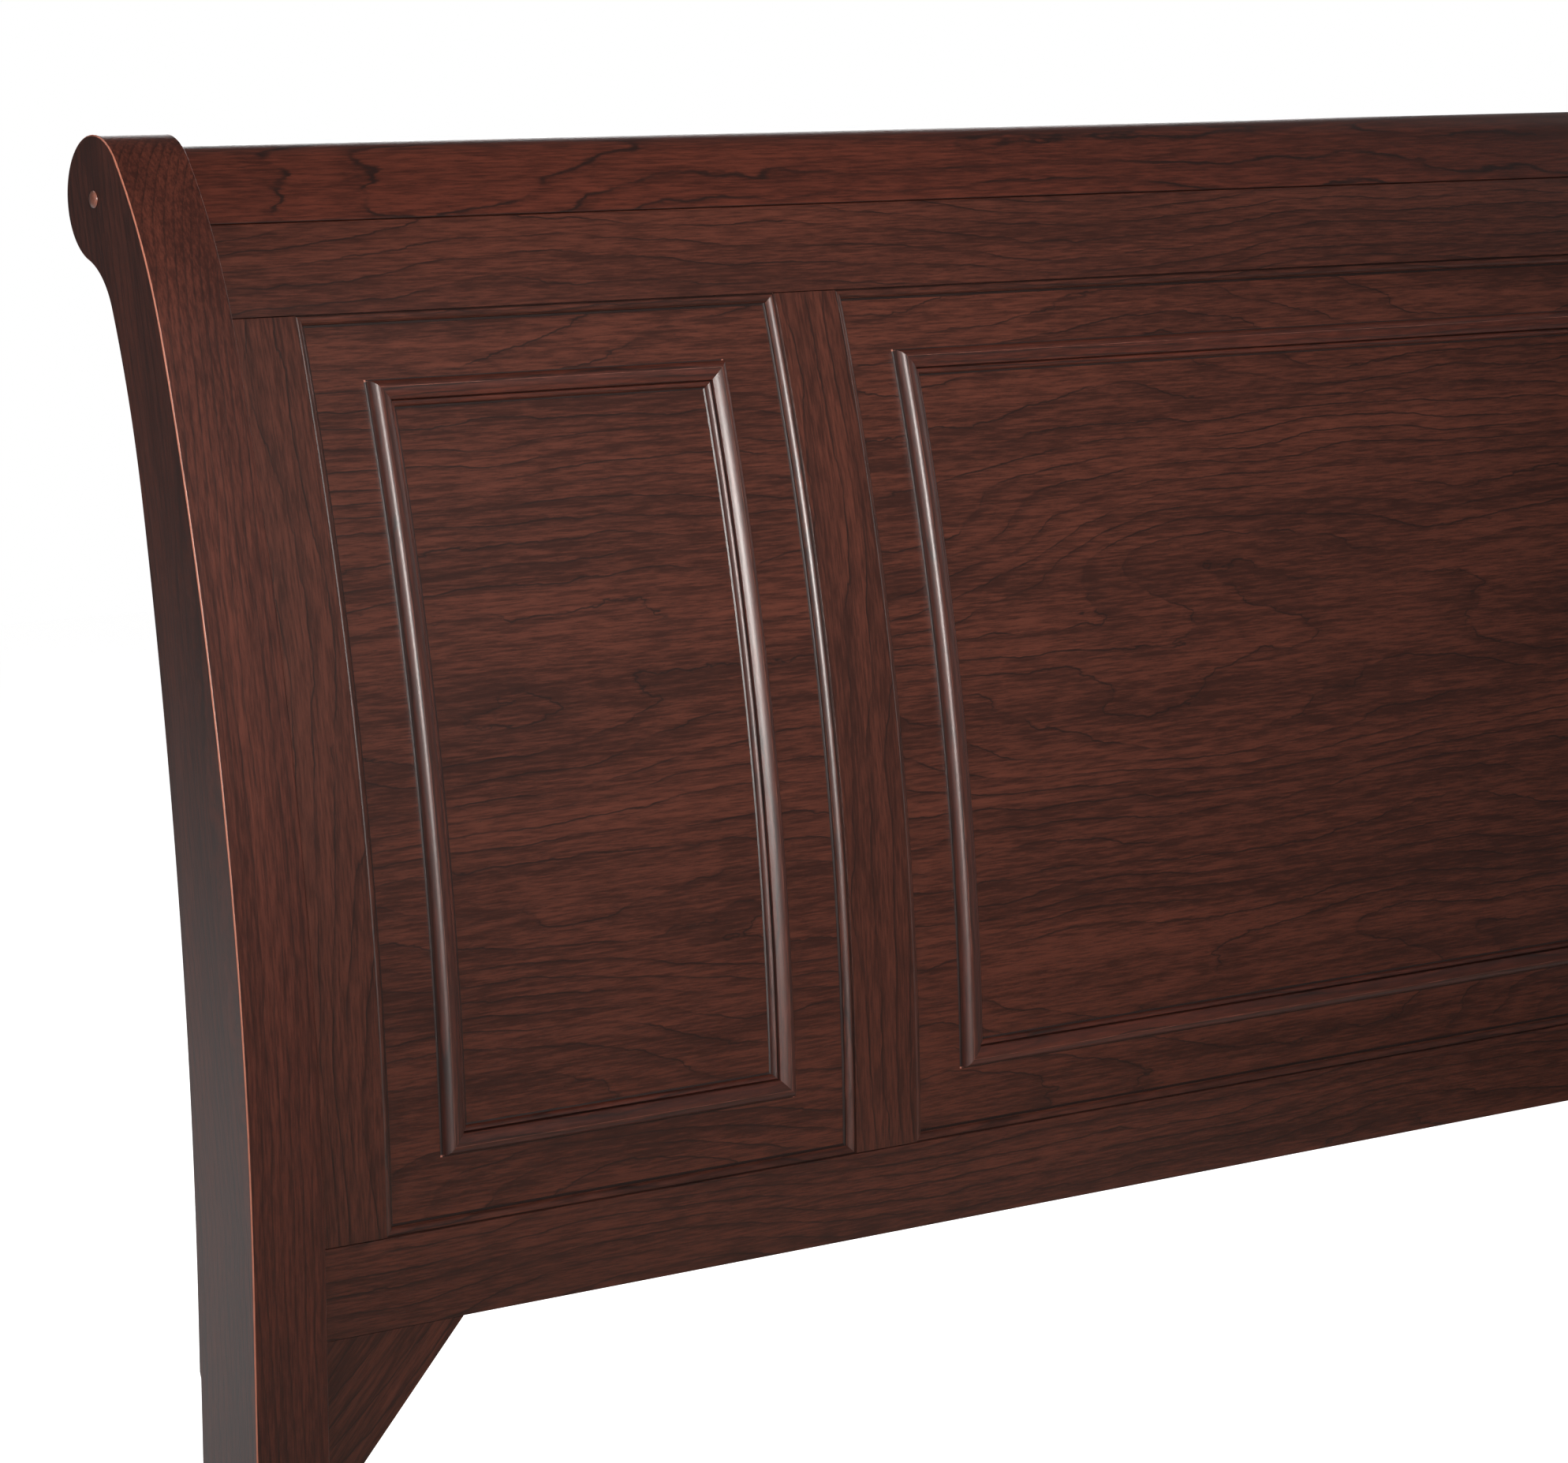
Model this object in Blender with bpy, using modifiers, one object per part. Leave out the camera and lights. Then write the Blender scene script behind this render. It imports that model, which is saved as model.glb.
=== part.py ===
"""Queen sleigh bed: scrolled headboard and footboard, hook-on side rails, slats and centre legs.

X runs across the bed, +Y points to the headboard and +Z up. The origin is on the floor, in the
middle of the bed. Each board is drawn in a plane of its own: y is the distance outward from the
face that touches the mattress, z the height. A point of the curved frame is given by its run,
the length along the sleigh curve from where the curve begins, and its depth behind that curve.
"""

import math

import bmesh
import bpy
from mathutils import Matrix, Vector

# ---- the whole bed -----------------------------------------------------------------------------
BED_WIDTH = 1.660            # over the outer faces of the posts
MATTRESS_SPACE = 2.060       # from headboard posts to footboard posts
GAP = 0.0003                 # air left between pieces that touch
OVERCUT = 0.003              # how far a cutter runs past the face that it opens
WELD = 0.00001               # vertices closer than this are one

# ---- posts -------------------------------------------------------------------------------------
POST_WIDTH = 0.048
POST_DEPTH = 0.0742
SCROLL_RADIUS = 0.038
NECK_RADIUS = 0.0472         # hollow under the scroll
LAMINATION_HEIGHT = 0.4864   # where the rear layer of a headboard post ends
LAMINATION_STEP = 0.0016

# ---- headboard curve: (radius, angle from upright at which that arc ends) ----------------------
HEAD_STRAIGHT = 0.553        # height at which the inner face starts to lean
HEAD_FRONT_ARCS = ((1.715, math.radians(18.8)), (0.314, math.radians(40.0)))
HEAD_BACK_STRAIGHT = 0.523
HEAD_BACK_ARC = (2.436, math.radians(11.5))
HEAD_BACK_END = math.radians(23.1)

# ---- footboard curve ---------------------------------------------------------------------------
FOOT_STRAIGHT = 0.400
FOOT_FRONT_ARCS = ((0.950, math.radians(15.0)), (0.250, math.radians(40.0)))
FOOT_BACK_STRAIGHT = 0.385
FOOT_BACK_ARC = (1.500, math.radians(6.0))
FOOT_BACK_END = math.radians(20.0)

# ---- frame and panels --------------------------------------------------------------------------
FRAME_THICKNESS = 0.022      # stiles, mullions and rails
ROLL_INSET = 0.0075          # the roll and the headboard frame sit this far inside the posts
FOOT_FACE_DEPTH = 0.052      # show face of the footboard frame, behind the inner curve
HOUSING = 0.012              # rails are let this far into the posts
STILE_WIDTH = 0.0452
MULLION_WIDTH = 0.0474
SIDE_OPENING = 0.3398
STICKING_WIDTH = 0.0066      # moulded edge round each opening
STICKING_DROP = 0.0025
PANEL_DROP = 0.006           # panel face behind the frame face
PANEL_THICKNESS = 0.009
PANEL_TONGUE = 0.008         # panel edge inside its groove
MOULDING_WIDTH = 0.017
MOULDING_HEIGHT = 0.008

# ---- frame mouldings: distance from the edge of the opening ------------------------------------
MARGIN_POST = 0.0415
MARGIN_MULLION = 0.0445
MARGIN_CENTRE = 0.0395
MARGIN_TOP = 0.0415
MARGIN_BOTTOM = 0.0435

# ---- runs along the curve: lower rail bottom, opening bottom, opening top, seam under the roll -
HEAD_RUNS = (-0.0376, 0.0190, 0.5746, 0.6358)
FOOT_RUNS = (-0.2000, -0.1436, 0.2170, 0.2710)

# ---- corner braces and plugs -------------------------------------------------------------------
BRACE_LEG = 0.097
BRACE_HEIGHT = 0.111
BRACE_THICKNESS = 0.020
BRACE_SETBACK = 0.001        # behind the face of the lower rail
PLUG_RADIUS = 0.0052
PLUG_STEM = 0.0045
PLUG_DOME = 0.0020
PLUG_LENGTH = 0.008          # of the stem

# ---- side rails, ledgers and slats -------------------------------------------------------------
SIDE_RAIL_THICKNESS = 0.025
SIDE_RAIL_INSET = 0.0115     # from the outer face of the post
SIDE_RAIL_BOTTOM = 0.185
SIDE_RAIL_HEIGHT = 0.200
LEDGER_SIZE = 0.025
LEDGER_LENGTH = 1.900
LEDGER_BOTTOM = 0.190
SLAT_WIDTH = 0.090
SLAT_THICKNESS = 0.020
SLAT_COUNT = 4
SLAT_END_GAP = 0.006         # between a slat and the side rail

# ---- steel hooks -------------------------------------------------------------------------------
HOOK_THICKNESS = 0.003
HOOK_PLATE_HEIGHT = 0.120
HOOK_PLATE_DEPTH = 0.035
HOOK_REACH = 0.016
HOOK_NECK = 0.014
HOOK_DROP = 0.012
HOOK_SPACING = 0.070
SLOT_CLEARANCE = 0.001

# ---- centre legs -------------------------------------------------------------------------------
LEG_SIDE = 0.045
LEG_BOTTOM = 0.030
FOOT_PAD_RADIUS = 0.019
FOOT_PAD_HEIGHT = 0.012
STUD_RADIUS = 0.005
STUD_TOP = 0.055
BORE_TOP = 0.075
BORE_CLEARANCE = 0.0004

# ---- fineness of the faceting ------------------------------------------------------------------
ARC_STEP = 0.045             # along the long arcs
TIGHT_STEP = 0.020           # along arcs under TIGHT_RADIUS
TIGHT_RADIUS = 0.6
SCROLL_STEP = math.radians(9)
ROUND_SIDES = 24             # of turned pieces and bores
DOME_STEPS = 5               # rings on a plug's dome
PROBE = 0.001                # short run used to find the curve's direction
HALVINGS = 50                # when a run is found by bisection

CHERRY = (0.115, 0.030, 0.017, 1.0)
CHERRY_RED = (0.150, 0.034, 0.018, 1.0)
PINE = (0.520, 0.350, 0.190, 1.0)
STEEL = (0.180, 0.180, 0.185, 1.0)
RUBBER = (0.030, 0.030, 0.030, 1.0)


def overhang(front_arcs):
    """How far the scroll reaches out past the face that touches the mattress."""
    reach = SCROLL_RADIUS * (1 + math.cos(front_arcs[-1][1]))
    start = 0.0
    for radius, end in front_arcs:
        reach += radius * (math.cos(start) - math.cos(end))
        start = end
    return reach


HALF_WIDTH = BED_WIDTH / 2
INNER_FACE = HALF_WIDTH - POST_WIDTH
STILE_EDGE = INNER_FACE - STILE_WIDTH
MULLION_OUTER = STILE_EDGE - SIDE_OPENING
MULLION_INNER = MULLION_OUTER - MULLION_WIDTH
MIDDLE = (overhang(FOOT_FRONT_ARCS) - overhang(HEAD_FRONT_ARCS)) / 2    # y halfway along the mattress
SIDES = (("left", -1), ("right", 1))


def clear_scene():
    for item in list(bpy.data.objects):
        bpy.data.objects.remove(item, do_unlink=True)


def new_collection(name):
    group = bpy.data.collections.new(name)
    bpy.context.scene.collection.children.link(group)
    return group


def material(name, colour, roughness, metallic=0.0):
    made = bpy.data.materials.new(name)
    made.use_nodes = True
    shader = made.node_tree.nodes["Principled BSDF"]
    shader.inputs["Base Color"].default_value = colour
    shader.inputs["Roughness"].default_value = roughness
    shader.inputs["Metallic"].default_value = metallic
    return made


clear_scene()
PARTS = new_collection("sleigh_bed")
CUTTERS = new_collection("cutters")
WOOD_FINISH = (CHERRY, 0.34)
ROLL_FINISH = (CHERRY_RED, 0.32)
SLAT_FINISH = (PINE, 0.70)
STEEL_FINISH = (STEEL, 0.45, 0.9)
RUBBER_FINISH = (RUBBER, 0.80)


# ---- the sleigh curve --------------------------------------------------------------------------
def normal(angle):
    """Direction from the curve's face into the wood, where the curve leans back by angle."""
    return math.cos(angle), -math.sin(angle)


def arc_points(centre, radius, start, end, step):
    """Points at centre - radius * normal(angle), from start to end, both included."""
    count = max(1, math.ceil(abs(end - start) / step))
    angles = [start + (end - start) * index / count for index in range(count + 1)]
    return [(centre[0] - radius * normal(a)[0], centre[1] - radius * normal(a)[1]) for a in angles]


class Board:
    """One end of the bed: its curve, its place on the bed and the way it leans."""

    def __init__(self, name, lean, straight, front_arcs, back_straight, back_arc, back_end, runs):
        self.name = name
        self.lean = lean
        self.face_y = MIDDLE + lean * MATTRESS_SPACE / 2
        self.straight = straight
        self.arcs = []
        corner = (0.0, straight)
        angle = 0.0
        for radius, end in front_arcs:
            centre = self.centre_from(corner, radius, angle)
            self.arcs.append((centre, radius, angle, end))
            corner = self.edge(centre, radius, end)
            angle = end
        self.scroll = self.centre_from(corner, SCROLL_RADIUS, angle)
        self.back_straight = back_straight
        self.back_arc = back_arc
        self.back_end = back_end
        self.runs = runs
        self.show_depth = ROLL_INSET if lean > 0 else FOOT_FACE_DEPTH

    @staticmethod
    def centre_from(point, radius, angle):
        return point[0] + radius * normal(angle)[0], point[1] + radius * normal(angle)[1]

    @staticmethod
    def edge(centre, radius, angle):
        return centre[0] - radius * normal(angle)[0], centre[1] - radius * normal(angle)[1]

    def at(self, run, depth):
        """Point (y, z) that lies run along the inner curve and depth behind it."""
        if run <= 0:
            return depth, self.straight + run
        for centre, radius, start, end in self.arcs:
            length = radius * (end - start)
            if run <= length:
                break
            run -= length
        else:
            run += length
        return self.edge(centre, radius - depth, start + run / radius)

    def stations(self, first, last):
        """Runs from first to last, close together where the curve is tight."""
        marks = [first]
        position = 0.0
        pieces = [(first, 0.0, abs(first) + 1.0)] if first < 0 else []
        for _, radius, start, end in self.arcs:
            step = TIGHT_STEP if radius < TIGHT_RADIUS else ARC_STEP
            pieces.append((position, position + radius * (end - start), step))
            position += radius * (end - start)
        for low, high, step in pieces:
            low, high = max(low, first), min(high, last)
            if high > low:
                count = math.ceil((high - low) / step)
                marks += [low + (high - low) * index / count for index in range(1, count + 1)]
        return marks

    def depth(self, behind):
        """Depth behind the inner curve of a layer that lies behind the frame's show face."""
        return self.show_depth + self.lean * behind

    def strip(self, first, last, near, far):
        """Outline of a curved slab between two runs and two depths behind the show face."""
        runs = self.stations(first, last)
        outline = [self.at(run, self.depth(near)) for run in runs]
        return outline + [self.at(run, self.depth(far)) for run in reversed(runs)]

    def meeting(self, depth, radius):
        """Run at which the layer at depth reaches a circle round the scroll's centre."""
        low = self.runs[3]
        high = sum(arc[1] * (arc[3] - arc[2]) for arc in self.arcs)
        for _ in range(HALVINGS):
            middle = (low + high) / 2
            reached = math.dist(self.at(middle, depth), self.scroll) < radius
            low, high = (low, middle) if reached else (middle, high)
        return low

    def turn_of(self, point):
        """Angle on the scroll at which a point lies, growing from the front over the top."""
        angle = math.atan2(point[1] - self.scroll[1], self.scroll[0] - point[0])
        return angle % (2 * math.pi)

    def post_outline(self):
        points = [(0.0, 0.0)]
        for centre, radius, start, end in self.arcs:
            step = TIGHT_STEP if radius < TIGHT_RADIUS else ARC_STEP
            points += arc_points(centre, radius, start, end, step / radius)[:-1]
        radius, end = self.back_arc
        foot = (POST_DEPTH, self.back_straight)
        low_centre = (foot[0] + radius, foot[1])
        knee = self.edge(low_centre, radius, end)
        upper = self.closing_radius(knee, end)
        upper_centre = self.centre_from(knee, upper, end)
        reach = normal(self.back_end)
        neck = (upper_centre[0] - (upper - NECK_RADIUS) * reach[0],
                upper_centre[1] - (upper - NECK_RADIUS) * reach[1])
        leave = self.turn_of(neck)
        points += arc_points(self.scroll, SCROLL_RADIUS, self.arcs[-1][3], leave, SCROLL_STEP)
        points += arc_points(neck, NECK_RADIUS, leave - math.pi, self.back_end, 2 * SCROLL_STEP)[1:]
        points += arc_points(upper_centre, upper, self.back_end, end, ARC_STEP / upper)[1:]
        points += arc_points(low_centre, radius, end, 0.0, ARC_STEP / radius)[1:]
        if self.lean > 0:
            points += [(POST_DEPTH, LAMINATION_HEIGHT),
                       (POST_DEPTH - LAMINATION_STEP, LAMINATION_HEIGHT)]
        points.append((points[-1][0], 0.0))
        return points

    def closing_radius(self, knee, angle):
        """Radius of the arc that leads from the knee to the hollow under the scroll."""
        start, end = normal(angle), normal(self.back_end)
        along = (start[0] - end[0], start[1] - end[1])
        offset = (knee[0] + NECK_RADIUS * end[0] - self.scroll[0],
                  knee[1] + NECK_RADIUS * end[1] - self.scroll[1])
        a = along[0] ** 2 + along[1] ** 2
        b = along[0] * offset[0] + along[1] * offset[1]
        c = offset[0] ** 2 + offset[1] ** 2 - (SCROLL_RADIUS + NECK_RADIUS) ** 2
        return (-b - math.sqrt(b * b - a * c)) / a

    def roll_outline(self):
        """Round top rail with the tail that reaches down to the seam."""
        radius = SCROLL_RADIUS - ROLL_INSET
        near, far = sorted((self.depth(0.0), self.depth(FRAME_THICKNESS)))
        seam = self.runs[3] + GAP
        front_run = self.meeting(near, radius)
        back_run = self.meeting(far, radius)
        front = [self.at(run, near) for run in self.stations(seam, front_run)]
        back = [self.at(run, far) for run in self.stations(seam, back_run)]
        start, end = self.turn_of(front[-1]), self.turn_of(back[-1])
        if start > end:
            start -= 2 * math.pi
        return front[:-1] + arc_points(self.scroll, radius, start, end, SCROLL_STEP) + back[-2::-1]


# ---- solids ------------------------------------------------------------------------------------
def finish(item, look, collection=None):
    """Give a finished piece its own material and its collection."""
    if look:
        item.data.materials.clear()
        item.data.materials.append(material(item.name + "_finish", *look))
    for group in list(item.users_collection):
        group.objects.unlink(item)
    (collection or PARTS).objects.link(item)
    if collection is CUTTERS:
        item.hide_render = True
        item.display_type = "WIRE"
    return item


def slab(name, outline, thickness, place, look=None, collection=None):
    """Flat outline in a plane, thickened to both sides of it. The matrix place sets the plane."""
    curve = bpy.data.curves.new(name + "_outline", "CURVE")
    curve.dimensions = "2D"
    curve.fill_mode = "BOTH"
    curve.extrude = thickness / 2
    spline = curve.splines.new("POLY")
    spline.points.add(len(outline) - 1)
    for point, (across, up) in zip(spline.points, outline):
        point.co = (across, up, 0.0, 1.0)
    spline.use_cyclic_u = True
    drawn = bpy.data.objects.new(name + "_outline", curve)
    PARTS.objects.link(drawn)
    evaluated = drawn.evaluated_get(bpy.context.evaluated_depsgraph_get())
    solid = bpy.data.meshes.new_from_object(evaluated)
    solid.name = name
    solid.transform(place)
    bpy.data.objects.remove(drawn, do_unlink=True)
    shaped = bmesh.new()
    shaped.from_mesh(solid)
    bmesh.ops.remove_doubles(shaped, verts=shaped.verts, dist=WELD)
    bmesh.ops.recalc_face_normals(shaped, faces=shaped.faces)
    shaped.to_mesh(solid)
    shaped.free()
    item = bpy.data.objects.new(name, solid)
    PARTS.objects.link(item)
    return finish(item, look, collection)


def plate(name, outline, low, high, look=None, collection=None):
    """Slab with an outline of (y, z) points, from x = low to x = high."""
    place = Matrix(((0, 0, 1, (low + high) / 2), (1, 0, 0, 0), (0, 1, 0, 0), (0, 0, 0, 1)))
    return slab(name, outline, high - low, place, look, collection)


def board_plate(board, name, outline, low, high, look=None, collection=None):
    """Plate that belongs to a board: its outline is moved to the board's place on the bed."""
    placed = [(board.face_y + board.lean * y, z) for y, z in outline]
    return plate(name, placed, low, high, look, collection)


def face_slab(board, name, corners, run, near, far, look=None, collection=None):
    """Slab that lies on the board's curve at run: corners are (x, run), near and far are depths."""
    (y, z), (y_up, z_up), (y_in, z_in) = board.at(run, 0), board.at(run + PROBE, 0), board.at(run, 1)
    upward = Vector((0, board.lean * (y_up - y), z_up - z)).normalized()
    inward = Vector((0, board.lean * (y_in - y), z_in - z)).normalized()
    middle = Vector((0, board.face_y + board.lean * y, z)) + inward * (near + far) / 2
    place = Matrix.Translation(middle) @ Matrix((Vector((1, 0, 0)), upward, inward)).transposed().to_4x4()
    outline = [(x, height - run) for x, height in corners]
    return slab(name, outline, abs(far - near), place, look, collection)


def box(name, low, high, look=None, collection=None):
    """Box between two opposite corners."""
    bpy.ops.mesh.primitive_cube_add(size=1.0)
    item = bpy.context.active_object
    item.name = name
    item.data.name = name
    item.data.transform(Matrix.Diagonal([b - a for a, b in zip(low, high)] + [1]))
    item.location = [(a + b) / 2 for a, b in zip(low, high)]
    return finish(item, look, collection)


def rod(name, centre, radius, length, axis="Z"):
    """Round cutter, centred, along X or Z."""
    turn = (0, math.pi / 2, 0) if axis == "X" else (0, 0, 0)
    bpy.ops.mesh.primitive_cylinder_add(vertices=ROUND_SIDES, radius=radius, depth=length,
                                        location=centre, rotation=turn)
    item = bpy.context.active_object
    item.name = name
    return finish(item, None, CUTTERS)


def turned(name, profile, look, location, rotation=(0, 0, 0)):
    """Round piece: a profile of (radius, height) from top to bottom, turned about its own Z."""
    mesh = bpy.data.meshes.new(name)
    edges = [(index, index + 1) for index in range(len(profile) - 1)]
    mesh.from_pydata([(radius, 0, height) for radius, height in profile], edges, [])
    item = bpy.data.objects.new(name, mesh)
    PARTS.objects.link(item)
    item.location = location
    item.rotation_euler = rotation
    turn = item.modifiers.new("turn", "SCREW")
    turn.steps = ROUND_SIDES
    turn.render_steps = ROUND_SIDES
    turn.use_merge_vertices = True
    turn.merge_threshold = WELD
    turn.use_smooth_shade = True
    return finish(item, look)


def cut(item, cutters):
    for cutter in cutters:
        hole = item.modifiers.new(cutter.name, "BOOLEAN")
        hole.operation = "DIFFERENCE"
        hole.object = cutter


def hole_box(name, low, high):
    return box(name, low, high, collection=CUTTERS)


def joined_cutter(name, pieces):
    """One cutter made of several separate ones."""
    together = bmesh.new()
    for piece in pieces:
        together.from_mesh(piece.data)
        bpy.data.objects.remove(piece, do_unlink=True)
    mesh = bpy.data.meshes.new(name)
    together.to_mesh(mesh)
    together.free()
    return finish(bpy.data.objects.new(name, mesh), None, CUTTERS)


# ---- headboard and footboard -------------------------------------------------------------------
def openings(board):
    """Name, x range and frame margins of the three panel openings, from left to right."""
    side = (MARGIN_POST, MARGIN_MULLION)
    return (
        (board.name + "_panel_left", -STILE_EDGE, -MULLION_OUTER, side),
        (board.name + "_panel_centre", -MULLION_INNER, MULLION_INNER, (MARGIN_CENTRE, MARGIN_CENTRE)),
        (board.name + "_panel_right", MULLION_OUTER, STILE_EDGE, side[::-1]),
    )


def uprights(board):
    """Name and x range, sticking included, of the stiles and mullions."""
    stile = (INNER_FACE - GAP, STILE_EDGE - STICKING_WIDTH)
    mullion = (MULLION_OUTER + STICKING_WIDTH, MULLION_INNER - STICKING_WIDTH)
    made = []
    for side, sign in SIDES:
        made.append((f"{board.name}_stile_{side}", *sorted(sign * x for x in stile)))
        made.append((f"{board.name}_mullion_{side}", *sorted(sign * x for x in mullion)))
    return made


def make_panels(board):
    """The three panels, with one cutter for their grooves and for the step of the sticking."""
    bottom, top = board.runs[1:3]
    spread = STICKING_WIDTH - PANEL_TONGUE
    back = PANEL_DROP + PANEL_THICKNESS
    cutters = []
    for name, low, high, _ in openings(board):
        outline = board.strip(bottom + spread, top - spread, PANEL_DROP, back)
        board_plate(board, name, outline, low + spread, high - spread, WOOD_FINISH)
        groove = board.strip(bottom + spread - GAP, top - spread + GAP, PANEL_DROP - GAP, back + GAP)
        step = board.strip(bottom, top, -OVERCUT, STICKING_DROP)
        cutters.append(board_plate(board, name + "_groove", groove, low + spread - GAP,
                                   high - spread + GAP, collection=CUTTERS))
        cutters.append(board_plate(board, name + "_step", step, low, high, collection=CUTTERS))
    return joined_cutter(board.name + "_grooves", cutters)


def make_frame(board, grooves):
    """Stiles, mullions and the two rails. The rails' sticking fits between the uprights'."""
    rail_bottom, bottom, top, seam = board.runs
    through = board.strip(bottom - GAP, top + GAP, -OVERCUT, FRAME_THICKNESS + OVERCUT)
    gates = []
    for name, low, high in uprights(board):
        outline = board.strip(bottom + GAP, top - GAP, 0.0, FRAME_THICKNESS)
        cut(board_plate(board, name, outline, low, high, WOOD_FINISH), [grooves])
        low = -HALF_WIDTH if name.endswith("stile_left") else low - GAP
        high = HALF_WIDTH if name.endswith("stile_right") else high + GAP
        gates.append(board_plate(board, name + "_gate", through, low, high, collection=CUTTERS))
    gate = joined_cutter(board.name + "_gates", gates)
    reach = INNER_FACE + HOUSING
    rails = (
        ("lower_rail", rail_bottom, bottom, STICKING_WIDTH, 0.0),
        ("upper_rail", top, seam - GAP, 0.0, STICKING_WIDTH),
    )
    housings = []
    for part, low, high, above, below in rails:
        outline = board.strip(low - below, high + above, 0.0, FRAME_THICKNESS)
        rail = board_plate(board, f"{board.name}_{part}", outline, -reach, reach, WOOD_FINISH)
        cut(rail, [gate, grooves])
        pocket = board.strip(low - GAP, high + GAP, -GAP, FRAME_THICKNESS + GAP)
        for side, sign in SIDES:
            ends = sorted((sign * (INNER_FACE - OVERCUT), sign * (reach + GAP)))
            housings.append((side, board_plate(board, f"{board.name}_{part}_housing_{side}", pocket, *ends,
                                               collection=CUTTERS)))
    return housings


def make_roll(board):
    reach = INNER_FACE - GAP
    board_plate(board, board.name + "_top_roll", board.roll_outline(), -reach, reach, ROLL_FINISH)


def make_posts(board, housings):
    """Posts, with housings for the rails, slots for the hooks and, at the head, plug bores."""
    rail_middle = HALF_WIDTH - SIDE_RAIL_INSET - SIDE_RAIL_THICKNESS / 2
    half_slot = HOOK_THICKNESS / 2 + SLOT_CLEARANCE
    middle = SIDE_RAIL_BOTTOM + SIDE_RAIL_HEIGHT / 2
    half_height = (HOOK_SPACING + HOOK_NECK) / 2 + HOOK_DROP + 2 * SLOT_CLEARANCE
    inward = sorted((board.face_y - board.lean * OVERCUT,
                     board.face_y + board.lean * (HOOK_REACH + 2 * SLOT_CLEARANCE)))
    for side, sign in SIDES:
        ends = sorted((sign * INNER_FACE, sign * HALF_WIDTH))
        post = board_plate(board, f"{board.name}_post_{side}", board.post_outline(), *ends, WOOD_FINISH)
        cutters = [cutter for at, cutter in housings if at == side]
        slot = sorted((sign * (rail_middle - half_slot), sign * (rail_middle + half_slot)))
        cutters.append(hole_box(f"{post.name}_slot", (slot[0], inward[0], middle - half_height),
                                (slot[1], inward[1], middle + half_height)))
        if board.lean > 0:
            centre = (sign * (HALF_WIDTH - PLUG_LENGTH / 2), board.face_y + board.scroll[0],
                      board.scroll[1])
            cutters.append(rod(f"{post.name}_bore", centre, PLUG_STEM + GAP,
                               PLUG_LENGTH + 2 * OVERCUT, "X"))
        cut(post, cutters)


def frame_area(board, low, high, margins):
    """Outer edges of a moulding frame: x from, x to, run from, run to."""
    bottom, top = board.runs[1:3]
    return low + margins[0], high - margins[1], bottom + MARGIN_BOTTOM, top - MARGIN_TOP


def make_mitred_frame(board, name, area):
    """Four mouldings laid on a panel, each cut at 45 degrees where it meets the next."""
    x_low, x_high, low, high = area
    near, far = PANEL_DROP - MOULDING_HEIGHT, PANEL_DROP - GAP
    wide = MOULDING_WIDTH
    shape = {
        "left": (x_low, x_low + wide, low, high),
        "right": (x_high - wide, x_high, low, high),
        "bottom": (x_low, x_high, low, low + wide),
        "top": (x_low, x_high, high - wide, high),
    }
    sticks = {}
    for edge, (x_from, x_to, run_from, run_to) in shape.items():
        outline = board.strip(run_from, run_to, near, far)
        sticks[edge] = board_plate(board, f"{name}_moulding_{edge}", outline, x_from, x_to, WOOD_FINISH)
    for across, sign_x in (("left", 1), ("right", -1)):
        for along, sign_run in (("bottom", 1), ("top", -1)):
            corner_x = x_low if sign_x > 0 else x_high
            corner_run = low if sign_run > 0 else high
            for stick, ahead, aside in ((across, 1, -1), (along, -1, 1)):
                wedge = mitre_wedge(board, f"{name}_{across}_{along}_{stick}_mitre", corner_x, corner_run,
                                    sign_x, sign_run, ahead, aside)
                cut(sticks[stick], [wedge])


def mitre_wedge(board, name, x, run, sign_x, sign_run, ahead, aside):
    """Cutter on one side of the diagonal that leaves a frame's corner at (x, run)."""
    reach = MOULDING_WIDTH + OVERCUT
    diagonal = [(-OVERCUT, -OVERCUT), (reach, reach)]
    third = (reach, -OVERCUT) if ahead > aside else (-OVERCUT, reach)
    corners = [(u + aside * GAP / 2, v + ahead * GAP / 2) for u, v in diagonal + [third]]
    placed = [(x + sign_x * u, run + sign_run * v) for u, v in corners]
    middle = run + sign_run * MOULDING_WIDTH / 2
    depths = board.depth(PANEL_DROP - MOULDING_HEIGHT - OVERCUT), board.depth(PANEL_DROP + OVERCUT)
    return face_slab(board, name, placed, middle, *depths, collection=CUTTERS)


def make_joined_frame(board, name, area):
    """Moulding frame as one ring."""
    x_low, x_high, low, high = area
    wide = MOULDING_WIDTH
    outline = board.strip(low, high, PANEL_DROP - MOULDING_HEIGHT, PANEL_DROP - GAP)
    ring = board_plate(board, name + "_moulding", outline, x_low, x_high, WOOD_FINISH)
    inside = board.strip(low + wide, high - wide, PANEL_DROP - MOULDING_HEIGHT - OVERCUT,
                         PANEL_DROP + OVERCUT)
    field = board_plate(board, name + "_field", inside, x_low + wide, x_high - wide, collection=CUTTERS)
    cut(ring, [field])


def make_braces(board):
    """Triangular gussets in the corners between the lower rail and the posts."""
    run = board.runs[0] - GAP
    depths = sorted((board.depth(BRACE_SETBACK), board.depth(BRACE_SETBACK + BRACE_THICKNESS)))
    for side, sign in SIDES:
        x_post = sign * (INNER_FACE - GAP)
        corners = [(x_post, run), (x_post - sign * BRACE_LEG, run), (x_post, run - BRACE_HEIGHT)]
        face_slab(board, f"{board.name}_brace_{side}", corners, run - BRACE_HEIGHT / 2, *depths,
                  WOOD_FINISH)


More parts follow.
